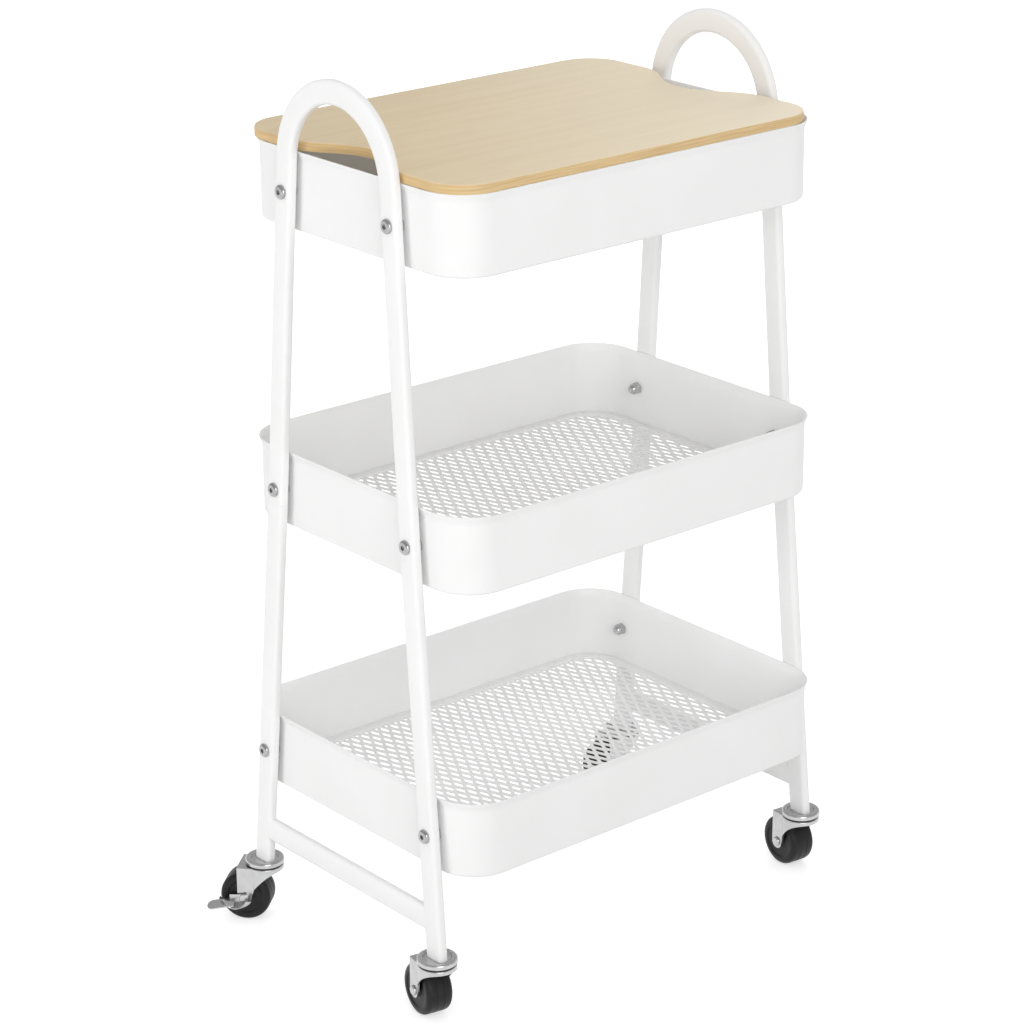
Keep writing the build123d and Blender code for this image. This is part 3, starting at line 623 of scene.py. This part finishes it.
def turned(corners, steps):
    """A lathe-turned shape about the z axis, from (radius, height, reach of bend) corners."""
    bm = bmesh.new()
    face = outline(bm, [((radius, 0, height), reach, TURNED_SEGMENTS) for radius, height, reach in corners])
    wire_of(bm, face)
    on_axis = [edge for edge in bm.edges if all(vert.co.x < MERGE / 10 for vert in edge.verts)]
    bmesh.ops.delete(bm, geom=on_axis, context="EDGES")
    bmesh.ops.spin(bm, geom=bm.verts[:] + bm.edges[:], cent=(0, 0, 0), axis=(0, 0, 1), angle=math.tau,
                   steps=steps, use_merge=True)
    bmesh.ops.remove_doubles(bm, verts=bm.verts, dist=MERGE)
    bmesh.ops.recalc_face_normals(bm, faces=bm.faces)
    return bm


def set_out(bm, places):
    """Copies of one small piece at each of its places, in one mesh."""
    first = everything(bm)
    for place in places[1:]:
        copy = bmesh.ops.duplicate(bm, geom=first)["geom"]
        bmesh.ops.transform(bm, matrix=place, verts=verts_in(copy))
    bmesh.ops.transform(bm, matrix=places[0], verts=verts_in(first))


def wall_gap(tier):
    """Distance along a bolt from a leg's inner face to the tray's end wall."""
    bolt_z = rim_z[tier] - BOLT_BELOW_RIM
    leg_inner = half_top + RIM_TO_LEG + (rim_z["top"] - bolt_z) * math.tan(lean)
    return (leg_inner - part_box(f"tray_{tier}")[1].x + RIM_OVERHANG) * math.cos(lean)


bolt_places = {tier: [] for tier in rim_z}
for tier in rim_z:
    bolt_up = (rim_z[tier] - BOLT_BELOW_RIM) / math.cos(lean)
    for side in ENDS.values():
        for sign in (-1, 1):
            on_leg = Matrix.Translation((sign * leg_across(bolt_up), bolt_up, 0))
            bolt_places[tier].append(end_plane(side) @ on_leg)

seat = TUBE_THICKNESS / 2
head_top = seat + HEAD_HEIGHT
shank_end = seat + wall_gap("top") + SHEET + NUT_HEIGHT
bm = turned([(0.0, -shank_end, 0.0), (BOLT_RADIUS, -shank_end, 0.0), (BOLT_RADIUS, seat, 0.0),
             (HEAD_RADIUS, seat, HEAD_FOOT), (HEAD_RADIUS, head_top, HEAD_DOME), (0.0, head_top, 0.0)],
            SMALL_STEPS)
crown = [face for face in bm.faces if all(abs(vert.co.z - head_top) < MERGE for vert in face.verts)]
bmesh.ops.delete(bm, geom=crown, context="FACES")
crown_edges = [edge for edge in bm.edges if edge.is_boundary]
socket = bmesh.ops.create_circle(bm, cap_ends=False, segments=6, radius=SOCKET_RADIUS)["verts"]
bmesh.ops.translate(bm, verts=socket, vec=(0, 0, head_top))
socket_edges = edges_at(socket)
bmesh.ops.triangle_fill(bm, use_beauty=True, edges=crown_edges + socket_edges)
socket_floor = draw_out(bm, socket_edges, Vector((0, 0, -SOCKET_DEPTH)))
bmesh.ops.contextual_create(bm, geom=socket_floor)
bmesh.ops.recalc_face_normals(bm, faces=bm.faces)
set_out(bm, [place for tier in rim_z for place in bolt_places[tier]])
add_piece("button_bolts", bm, [dull_zinc], "frame", "zinc", "tray_bolts")

# Spacer bushes and cap nuts: a turned steel bush on each bolt keeps the leg off the tray's end wall.
# A domed hexagon nut closes the bolt inside the tray. Both are zinc plated.
NUT_WIDTH = 0.0100
NUT_DOME = 0.0045
NUT_CROWN = 0.0042
NUT_EDGE = 0.0004
NUT_CORNER = math.radians(35)

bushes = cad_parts["spacer_bushes"]
bushes.data.materials.clear()
bushes.data.materials.append(bright_zinc)

nut_bm = bmesh.new()
for tier in rim_z:
    nut_seat = -(seat + wall_gap(tier) + SHEET + SEAT_GAP)
    dome_base = nut_seat - NUT_HEIGHT
    dome_top = dome_base - NUT_DOME
    bm = turned([(0.0, dome_base, 0.0), (NUT_DOME, dome_base, 0.0), (NUT_DOME, dome_top, NUT_CROWN),
                 (0.0, dome_top, 0.0)], SMALL_STEPS)
    base = [face for face in bm.faces if all(abs(vert.co.z - dome_base) < MERGE for vert in face.verts)]
    bmesh.ops.delete(bm, geom=base, context="FACES")
    dome_edges = [edge for edge in bm.edges if edge.is_boundary]
    hexagon = bmesh.ops.create_circle(bm, cap_ends=False, segments=6,
                                      radius=NUT_WIDTH / math.sqrt(3))["verts"]
    bmesh.ops.translate(bm, verts=hexagon, vec=(0, 0, dome_base))
    hexagon_edges = edges_at(hexagon)
    bmesh.ops.triangle_fill(bm, use_beauty=True, edges=dome_edges + hexagon_edges)
    nut_foot = draw_out(bm, hexagon_edges, Vector((0, 0, NUT_HEIGHT)))
    bmesh.ops.contextual_create(bm, geom=nut_foot)
    bmesh.ops.recalc_face_normals(bm, faces=bm.faces)
    corners = [edge for edge in bm.edges if edge.calc_face_angle(0.0) > NUT_CORNER]
    soften(bm, corners, NUT_EDGE, 2)
    set_out(bm, bolt_places[tier])
    join(nut_bm, bm)
add_piece("domed_nuts", nut_bm, [bright_zinc], "frame", "zinc", "cap_nuts")

# Caster races: a domed, dished ring of pressed steel under each leg, with the stem and kingpin riveted to it.
# The leg's foot stands in the dish, and a dark thrust ring turns between the race and the fork.
FORK_TOP_Z = 0.0510
FORK_SHEET = 0.0015
RACE_RADIUS = 0.0170
DISH_RADIUS = 0.0125
RACE_LIP = 0.0022
RACE_SHOULDER = 0.0022
DISH_SLOPE = 0.0008
BEARING_RADIUS = 0.0155
BEARING_BORE = 0.0048
STEM_RADIUS = 0.0025
KINGPIN_RADIUS = 0.0045
PIN_HEAD_RADIUS = 0.0070
PIN_EDGE = 0.0008
RACE_EDGE = 0.0006
DISH_EDGE = 0.0012
STEM_EDGE = 0.0004
BEARING_EDGE = 0.0003
RACE_STEPS = 48
CORNERS = [(row_name, end) for end in ENDS for row_name in ROWS]


def swivel_frame(corner):
    """From a caster's own frame (x along the axle, y towards the wheel, z up) to the cart's."""
    ring_low, ring_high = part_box(f"bearing_ring_{corner}")
    wheel_low, wheel_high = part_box(f"wheel_{corner}")
    pivot = (ring_low + ring_high) / 2
    hub = (wheel_low + wheel_high) / 2
    yaw = math.atan2(pivot.x - hub.x, hub.y - pivot.y)
    return Matrix.Translation((pivot.x, pivot.y, 0)) @ Matrix.Rotation(yaw, 4, "Z")


for row_name, end in CORNERS:
    corner = f"{row_name}_{end}"
    stem_low, stem_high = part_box(f"caster_stem_{corner}")
    ring_low, ring_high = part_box(f"bearing_ring_{corner}")
    dish_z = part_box(f"lower_leg_{corner}")[0].z - SEAT_GAP
    race_low = ring_high.z + SEAT_GAP
    pin_low = FORK_TOP_Z - FORK_SHEET - SEAT_GAP
    lip_z = dish_z + RACE_LIP
    bm = turned([(0.0, stem_low.z, 0.0), (PIN_HEAD_RADIUS, stem_low.z, PIN_EDGE),
                 (PIN_HEAD_RADIUS, pin_low, 0.0), (KINGPIN_RADIUS, pin_low, 0.0),
                 (KINGPIN_RADIUS, race_low, 0.0), (RACE_RADIUS, race_low, RACE_EDGE),
                 (RACE_RADIUS, lip_z, RACE_SHOULDER), (DISH_RADIUS, lip_z, DISH_EDGE),
                 (DISH_RADIUS - DISH_SLOPE, dish_z, RACE_EDGE), (STEM_RADIUS, dish_z, 0.0),
                 (STEM_RADIUS, stem_high.z, STEM_EDGE), (0.0, stem_high.z, 0.0)], RACE_STEPS)
    bmesh.ops.transform(bm, matrix=swivel_frame(corner), verts=bm.verts)
    add_piece(f"caster_race_{corner}", bm, [bright_zinc], "frame", "zinc", f"caster_stem_{corner}")
    bm = turned([(BEARING_BORE, ring_low.z, 0.0), (BEARING_RADIUS, ring_low.z, BEARING_EDGE),
                 (BEARING_RADIUS, ring_high.z, BEARING_EDGE), (BEARING_BORE, ring_high.z, 0.0)], RACE_STEPS)
    bmesh.ops.transform(bm, matrix=swivel_frame(corner), verts=bm.verts)
    add_piece(f"thrust_ring_{corner}", bm, [dark_nylon], "frame", "black_plastic", f"bearing_ring_{corner}")

# Caster forks: one steel stamping each, a cup under the race that runs back into two flat arms.
# The lower edge sweeps up from the axle to the front of the cup. Bright zinc plate over the whole.
FORK_CUP = 0.0165
FORK_HALF_WIDTH = 0.0138
FORK_BACK = 0.0222
TRAIL = 0.0160
ARM_END = 0.0065
ARM_FRONT = 0.0080
SKIRT_DROP = 0.0035
SKIRT_ROWS = 3
SKIRT_SWEEP = 0.85
ROW_STEP = 0.0001
ARM_STEPS = 9
CUP_STEPS = 30
FORK_FOLD = 0.0008


def fork_edge(y, axle_z):
    """Height of the fork's lower edge along its length."""
    if y >= TRAIL - ARM_END:
        return axle_z - math.sqrt(max(0.0, ARM_END ** 2 - (y - TRAIL) ** 2))
    if y >= ARM_FRONT:
        return axle_z + (TRAIL - ARM_END - y) / (TRAIL - ARM_END - ARM_FRONT) * ARM_END
    share = (ARM_FRONT - y) / (ARM_FRONT + FORK_CUP)
    low = axle_z + ARM_END
    return low + (FORK_TOP_Z - SKIRT_DROP - low) * math.sin(share * math.pi / 2) ** SKIRT_SWEEP


def step_to(bm, vert, y):
    """Draw a vertex on along an arm and give the new one."""
    grown = bmesh.ops.extrude_vert_indiv(bm, verts=[vert])["verts"][0]
    bmesh.ops.translate(bm, verts=[grown], vec=(0, y - vert.co.y, 0))
    return grown


for row_name, end in CORNERS:
    corner = f"{row_name}_{end}"
    wheel_low, wheel_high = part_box(f"wheel_{corner}")
    axle_z = (wheel_low.z + wheel_high.z) / 2
    arm_y = math.sqrt(FORK_CUP ** 2 - FORK_HALF_WIDTH ** 2)
    cup_turn = math.atan2(arm_y, FORK_HALF_WIDTH)
    arm_run = [FORK_BACK + (arm_y - FORK_BACK) * step / ARM_STEPS for step in range(ARM_STEPS + 1)]
    bm = bmesh.new()
    tip = bm.verts.new((FORK_HALF_WIDTH, FORK_BACK, FORK_TOP_Z))
    walk = tip
    for y in arm_run[1:]:
        walk = step_to(bm, walk, y)
    around = bmesh.ops.spin(bm, geom=[walk], cent=(0, 0, FORK_TOP_Z), axis=(0, 0, -1),
                            angle=math.pi + 2 * cup_turn, steps=CUP_STEPS)["geom_last"]
    walk = around[0]
    for y in reversed(arm_run[:-1]):
        walk = step_to(bm, walk, y)
    rim_edges = bm.edges[:]
    row = rim_edges
    for step in range(SKIRT_ROWS):
        row = draw_out(bm, row, Vector((0, 0, -ROW_STEP)))
    for vert in bm.verts:
        share = (FORK_TOP_Z - vert.co.z) / (ROW_STEP * SKIRT_ROWS)
        vert.co.z = FORK_TOP_Z - share * (FORK_TOP_Z - fork_edge(vert.co.y, axle_z))
    back_edge = bm.edges.new((tip, walk))
    bmesh.ops.contextual_create(bm, geom=rim_edges + [back_edge])
    bmesh.ops.recalc_face_normals(bm, faces=bm.faces)
    soften(bm, rim_edges, FORK_FOLD, 3)
    bmesh.ops.solidify(bm, geom=bm.faces[:], thickness=FORK_SHEET)
    bmesh.ops.transform(bm, matrix=swivel_frame(corner), verts=bm.verts)
    add_piece(f"fork_{corner}", bm, [bright_zinc], f"swivel_{corner}", "zinc", f"caster_fork_{corner}")

# Caster wheels: moulded black plastic, with a barrel tread that has two shallow grooves, and dished sides.
# Each turns on a domed zinc rivet through the fork's arms.
WHEEL_HALF = 0.0120
WHEEL_SHOULDER = 0.0040
WHEEL_BORE = 0.00305
BOSS_RADIUS = 0.0062
DISH_INNER = 0.0070
DISH_OUTER = 0.0148
DISH_RIM = 0.0160
DISH_DEPTH = 0.001
HUB_EDGE = 0.0004
FLANK_EDGE = 0.0006
WHEEL_STEPS = 56
GROOVE_DEPTH = 0.00035
GROOVE_EDGES = (-0.0040, -0.0026)
GROOVE_FLOOR = (-0.0036, -0.0030)
LEVER_SHEET = 0.0015
SIDE_PLAY = 0.0003
RIVET_RADIUS = 0.0030
RIVET_HEAD = 0.00425
RIVET_HEIGHT = 0.0018
RIVET_DOME = 0.0014
RIVET_STEPS = 32
FLAT_HEIGHT = 0.0009
NEAR_DOME = 0.78
PLASTIC_SHADE = (0.008, 0.008, 0.008)
PLASTIC_LIGHT = (0.014, 0.014, 0.014)
PLASTIC_GRAIN = (1500.0, 1500.0, 1500.0)
PLASTIC_SCUFF = (120.0, 120.0, 120.0)
PLASTIC_ROUGHNESS = (0.36, 0.46)
PLASTIC_SHEEN = 0.26

black_plastic, plastic_tree, plastic_shader, plastic_place = start_material("black_wheel_plastic")
plastic_grain = mottle(plastic_tree, plastic_place, PLASTIC_GRAIN)
plastic_scuff = mottle(plastic_tree, plastic_place, PLASTIC_SCUFF, 5.0)
plastic_tree.links.new(tint(plastic_tree, plastic_scuff, (0.35, PLASTIC_SHADE), (0.7, PLASTIC_LIGHT)),
                       plastic_shader.inputs["Base Color"])
plastic_tree.links.new(spread(plastic_tree, plastic_scuff, *PLASTIC_ROUGHNESS),
                       plastic_shader.inputs["Roughness"])
plastic_shader.inputs["Specular IOR Level"].default_value = PLASTIC_SHEEN
roughen(plastic_tree, plastic_shader, plastic_grain, 0.10, 0.0002)

ON_AXLE = Matrix.Rotation(math.pi / 2, 4, "Y")

for row_name, end in CORNERS:
    corner = f"{row_name}_{end}"
    wheel_low, wheel_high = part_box(f"wheel_{corner}")
    tyre = (wheel_high.z - wheel_low.z) / 2
    hub = swivel_frame(corner) @ Matrix.Translation((0, TRAIL, tyre)) @ ON_AXLE
    groove = tyre - GROOVE_DEPTH
    flank = -WHEEL_HALF
    dish = flank + DISH_DEPTH
    side = [(WHEEL_BORE, flank, 0.0), (BOSS_RADIUS, flank, HUB_EDGE), (DISH_INNER, dish, HUB_EDGE),
            (DISH_OUTER, dish, FLANK_EDGE), (DISH_RIM, flank, FLANK_EDGE), (tyre, flank, WHEEL_SHOULDER)]
    tread = [(tyre, GROOVE_EDGES[0], 0.0), (groove, GROOVE_FLOOR[0], 0.0),
             (groove, GROOVE_FLOOR[1], 0.0), (tyre, GROOVE_EDGES[1], 0.0)]
    mirrored = [(radius, -axial, reach) for radius, axial, reach in reversed(side + tread)]
    bm = turned(side + tread + mirrored, WHEEL_STEPS)
    bmesh.ops.transform(bm, matrix=hub, verts=bm.verts)
    add_piece(f"tyre_{corner}", bm, [black_plastic], f"wheel_{corner}", "black_plastic", f"wheel_{corner}")
    outer = FORK_HALF_WIDTH + SEAT_GAP
    levered = outer + SIDE_PLAY + LEVER_SHEET if row_name == "back" else outer
    near_head = FLAT_HEIGHT if row_name == "back" else RIVET_HEIGHT
    bm = turned([(0.0, -levered - near_head, 0.0), (RIVET_HEAD, -levered - near_head, near_head * NEAR_DOME),
                 (RIVET_HEAD, -levered, 0.0), (RIVET_RADIUS, -levered, 0.0), (RIVET_RADIUS, outer, 0.0),
                 (RIVET_HEAD, outer, 0.0), (RIVET_HEAD, outer + RIVET_HEIGHT, RIVET_DOME),
                 (0.0, outer + RIVET_HEIGHT, 0.0)], RIVET_STEPS)
    bmesh.ops.transform(bm, matrix=hub, verts=bm.verts)
    add_piece(f"rivet_{corner}", bm, [bright_zinc], f"swivel_{corner}", "zinc", f"axle_{corner}")

# Brake levers: zinc-plated stampings on the outer ends of the two back rivets.
# An apron hangs on the rivet, its foot curls out into a crescent lip, and a tongue reaches back
# to be pressed.
LEVER_HUB = 0.0042
APRON_BACK = 0.0130
APRON_TOP = 0.0030
LIP_RADIUS = 0.0186
LIP_CENTRE = Vector((0, 0.0069, 0.0098))
LIP_HALF = 0.0155
LIP_STEPS = 20
LIP_OVERLAP = 0.0004
LIP_SHEET = 0.0012
LIP_ROWS = ((0.0015, 1.0, 0.0), (0.0045, 0.92, 0.0002), (0.0070, 0.70, 0.0008))
APRON_ROUNDING = 0.0040
APRON_SOFTNESS = 0.0010
APRON_FOOT = (0.0070, 0.0010)
TONGUE_START = 0.0080
TONGUE_LENGTH = 0.02525
TONGUE_WIDTH = 0.0090
TONGUE_ROUNDING = 0.0052
TONGUE_EDGE = 0.0004
TONGUE_CORNER = math.radians(60)
TONGUE_DROP = math.radians(-13.0)
TONGUE_TILT = math.radians(-20.0)

for end in ENDS:
    corner = f"back_{end}"
    wheel_low, wheel_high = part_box(f"wheel_{corner}")
    lever_in = -(FORK_HALF_WIDTH + SIDE_PLAY)
    lever_out = lever_in - LEVER_SHEET
    tongue = bmesh.new()
    strip = outline(tongue, [((x, y, 0), reach, 8) for x, y, reach in (
        (LEVER_SHEET, 0, 0), (LEVER_SHEET, TONGUE_LENGTH, TONGUE_ROUNDING),
        (-TONGUE_WIDTH, TONGUE_LENGTH, TONGUE_ROUNDING), (-TONGUE_WIDTH, 0, 0))])
    strip_under = draw_out(tongue, strip.edges[:], Vector((0, 0, -LEVER_SHEET)))
    bmesh.ops.contextual_create(tongue, geom=strip_under)
    bmesh.ops.recalc_face_normals(tongue, faces=tongue.faces)
    strip_rims = [edge for edge in tongue.edges if edge.calc_face_angle(0.0) > TONGUE_CORNER]
    soften(tongue, strip_rims, TONGUE_EDGE, 2)
    bent = (Matrix.Translation((lever_out, TONGUE_START, 0)) @ Matrix.Rotation(TONGUE_DROP, 4, "X")
            @ Matrix.Rotation(TONGUE_TILT, 4, "Y"))
    bmesh.ops.transform(tongue, matrix=bent, verts=tongue.verts)
    bm = bmesh.new()
    foot_y = (APRON_BACK, *APRON_FOOT, -LEVER_HUB)
    foot_radius = LIP_RADIUS - LIP_OVERLAP
    foot = [(y, LIP_CENTRE.z - math.sqrt(foot_radius ** 2 - (y - LIP_CENTRE.y) ** 2), 0.0) for y in foot_y]
    head = [(-LEVER_HUB, LEVER_HUB, APRON_ROUNDING), (APRON_BACK, APRON_TOP, APRON_SOFTNESS)]
    apron = outline(bm, [((lever_out, y, z), reach, 6) for y, z, reach in head + foot])
    apron_inner = draw_out(bm, apron.edges[:], Vector((LEVER_SHEET, 0, 0)))
    bmesh.ops.contextual_create(bm, geom=apron_inner)
    bmesh.ops.recalc_face_normals(bm, faces=bm.faces)
    lip_turn = math.asin(LIP_HALF / LIP_RADIUS)
    start = bm.verts.new(LIP_CENTRE + LIP_RADIUS * Vector((0, -math.sin(lip_turn), -math.cos(lip_turn))))
    start.co.x = lever_in
    before = set(bm.edges)
    bmesh.ops.spin(bm, geom=[start], cent=LIP_CENTRE, axis=(1, 0, 0), angle=2 * lip_turn, steps=LIP_STEPS)
    lip = [edge for edge in bm.edges if edge not in before]
    sheet_before = set(bm.faces)
    for reach_out, narrow, rise in LIP_ROWS:
        lip = draw_out(bm, lip, Vector((lever_out - reach_out - lip[0].verts[0].co.x, 0, rise)))
        bmesh.ops.scale(bm, verts=verts_of(lip), vec=(1.0, narrow, 1.0),
                        space=Matrix.Translation((0, -LIP_CENTRE.y, 0)))
    sheet = [face for face in bm.faces if face not in sheet_before]
    bmesh.ops.recalc_face_normals(bm, faces=sheet)
    if sum(face.normal.z for face in sheet) < 0:
        bmesh.ops.reverse_faces(bm, faces=sheet)
    bmesh.ops.solidify(bm, geom=sheet, thickness=-LIP_SHEET)
    bmesh.ops.recalc_face_normals(bm, faces=bm.faces)
    join(bm, tongue)
    tyre = (wheel_high.z - wheel_low.z) / 2
    on_axle = swivel_frame(corner) @ Matrix.Translation((0, TRAIL, tyre))
    bmesh.ops.transform(bm, matrix=on_axle, verts=bm.verts)
    add_piece(f"pedal_{corner}", bm, [bright_zinc], f"brake_{corner}", "zinc", f"brake_lever_{corner}")

# Lid: one board of light oak veneer that lies on the top tray's rim, with its long grain along the cart.
# A shallow curved notch in each end lets fingers under it, and a golden band covers the cut edge.
# A painted sheen makes the veneer paler towards the front right corner, standing in for light glancing off
# the board.
LID_CORNER = 0.034
LID_EDGE = 0.0010
LID_UNDER_EDGE = 0.0003
NOTCH_DEPTH = 0.028
NOTCH_MOUTH = 0.059
NOTCH_FLOOR = 0.016
NOTCH_BEND = 0.045
BEND_SEGMENTS = 10
OAK_SHADE = (0.672, 0.525, 0.316)
OAK_MIDDLE = (0.722, 0.587, 0.381)
OAK_LIGHT = (0.765, 0.644, 0.439)
OAK_PORE = (0.48, 0.34, 0.19, 1.0)
# Painted sheen: a pale tint mixed into the veneer towards the front right, standing in for light glancing off
# the board.
OAK_PAINTED_SHEEN = (0.985, 0.895, 0.725, 1.0)
BAND_SHADE = (0.605, 0.412, 0.185)
BAND_LIGHT = (0.748, 0.550, 0.290)
OAK_FIGURE = (2.5, 70.0, 70.0)
OAK_FIBRE = (16.0, 620.0, 620.0)
OAK_PORES = (45.0, 1500.0, 1500.0)
OAK_ROUGHNESS = (0.44, 0.60)
BAND_GRAIN = (26.0, 26.0, 900.0)
BAND_ROUGHNESS = (0.45, 0.62)
FIBRE_SHARE = 0.62
PORE_SHARE = 0.22
PAINTED_SHEEN_SHARE = 0.70
PAINTED_SHEEN_FROM = -0.11
PAINTED_SHEEN_TO = 0.21
PAINTED_SHEEN_SLANT = (0.77, -0.64, 0.0)

oak_face, oak_tree, oak_shader, oak_place = start_material("light_oak_veneer")
oak_figure = mottle(oak_tree, oak_place, OAK_FIGURE, 3.0)
oak_fibre = mottle(oak_tree, oak_place, OAK_FIBRE, 4.0)
oak_pore = mottle(oak_tree, oak_place, OAK_PORES)
oak_tone = oak_tree.nodes.new("ShaderNodeMix")
oak_tone.data_type = "FLOAT"
oak_tone.inputs[0].default_value = FIBRE_SHARE
oak_tree.links.new(oak_figure, oak_tone.inputs[2])
oak_tree.links.new(oak_fibre, oak_tone.inputs[3])
oak_colour = tint(oak_tree, oak_tone.outputs[0], (0.32, OAK_SHADE), (0.50, OAK_MIDDLE), (0.70, OAK_LIGHT))
oak_speck = oak_tree.nodes.new("ShaderNodeMix")
oak_speck.data_type = "RGBA"
oak_tree.links.new(spread(oak_tree, oak_pore, 0.0, PORE_SHARE, 0.62, 0.74), oak_speck.inputs[0])
oak_tree.links.new(oak_colour, oak_speck.inputs[6])
oak_speck.inputs[7].default_value = OAK_PORE
# Painted sheen: the colour is mixed towards a pale tint along a slant to the front right corner, standing in
# for light glancing off the lid.
painted_sheen_along = oak_tree.nodes.new("ShaderNodeVectorMath")
painted_sheen_along.operation = "DOT_PRODUCT"
oak_tree.links.new(oak_place, painted_sheen_along.inputs[0])
painted_sheen_along.inputs[1].default_value = PAINTED_SHEEN_SLANT
painted_sheen_mix = oak_tree.nodes.new("ShaderNodeMix")
painted_sheen_mix.data_type = "RGBA"
oak_tree.links.new(spread(oak_tree, painted_sheen_along.outputs["Value"], 0.0, PAINTED_SHEEN_SHARE, PAINTED_SHEEN_FROM, PAINTED_SHEEN_TO),
                   painted_sheen_mix.inputs[0])
oak_tree.links.new(oak_speck.outputs[2], painted_sheen_mix.inputs[6])
painted_sheen_mix.inputs[7].default_value = OAK_PAINTED_SHEEN
oak_tree.links.new(painted_sheen_mix.outputs[2], oak_shader.inputs["Base Color"])
oak_tree.links.new(spread(oak_tree, oak_fibre, *OAK_ROUGHNESS), oak_shader.inputs["Roughness"])
roughen(oak_tree, oak_shader, oak_fibre, 0.10, 0.0002)

oak_band, band_tree, band_shader, band_place = start_material("golden_edge_band")
band_grain = mottle(band_tree, band_place, BAND_GRAIN, 3.0)
band_tree.links.new(tint(band_tree, band_grain, (0.32, BAND_SHADE), (0.68, BAND_LIGHT)),
                    band_shader.inputs["Base Color"])
band_tree.links.new(spread(band_tree, band_grain, *BAND_ROUGHNESS), band_shader.inputs["Roughness"])
roughen(band_tree, band_shader, band_grain, 0.08, 0.0002)

lid_low, lid_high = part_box("lid")
half_lid = (lid_high.x - lid_low.x) / 2
half_depth = (lid_high.y - lid_low.y) / 2
lid_middle = (lid_low + lid_high) / 2
bend_reach = NOTCH_BEND * math.tan(math.atan2(NOTCH_DEPTH, NOTCH_MOUTH - NOTCH_FLOOR) / 2)
notch_x = half_lid - NOTCH_DEPTH
half_outline = [(half_lid, -half_depth, LID_CORNER), (half_lid, -NOTCH_MOUTH, bend_reach),
                (notch_x, -NOTCH_FLOOR, bend_reach), (notch_x, NOTCH_FLOOR, bend_reach),
                (half_lid, NOTCH_MOUTH, bend_reach), (half_lid, half_depth, LID_CORNER)]
bm = bmesh.new()
board = outline(bm, [((lid_middle.x + sign * x, lid_middle.y + sign * y, lid_low.z), reach, BEND_SEGMENTS)
                     for sign in (1, -1) for x, y, reach in half_outline])
board_edges = board.edges[:]
top_edges = draw_out(bm, board_edges, Vector((0, 0, lid_high.z - lid_low.z)))
bmesh.ops.contextual_create(bm, geom=top_edges)
bmesh.ops.recalc_face_normals(bm, faces=bm.faces)
for edges, rounding in ((top_edges, LID_EDGE), (board_edges, LID_UNDER_EDGE)):
    soften(bm, edges, rounding, 3)
for face in bm.faces:
    face.material_index = 1 if abs(face.normal.z) < 0.5 else 0
add_piece("oak_lid", bm, [oak_face, oak_band], "lid", "oak_board", "lid")
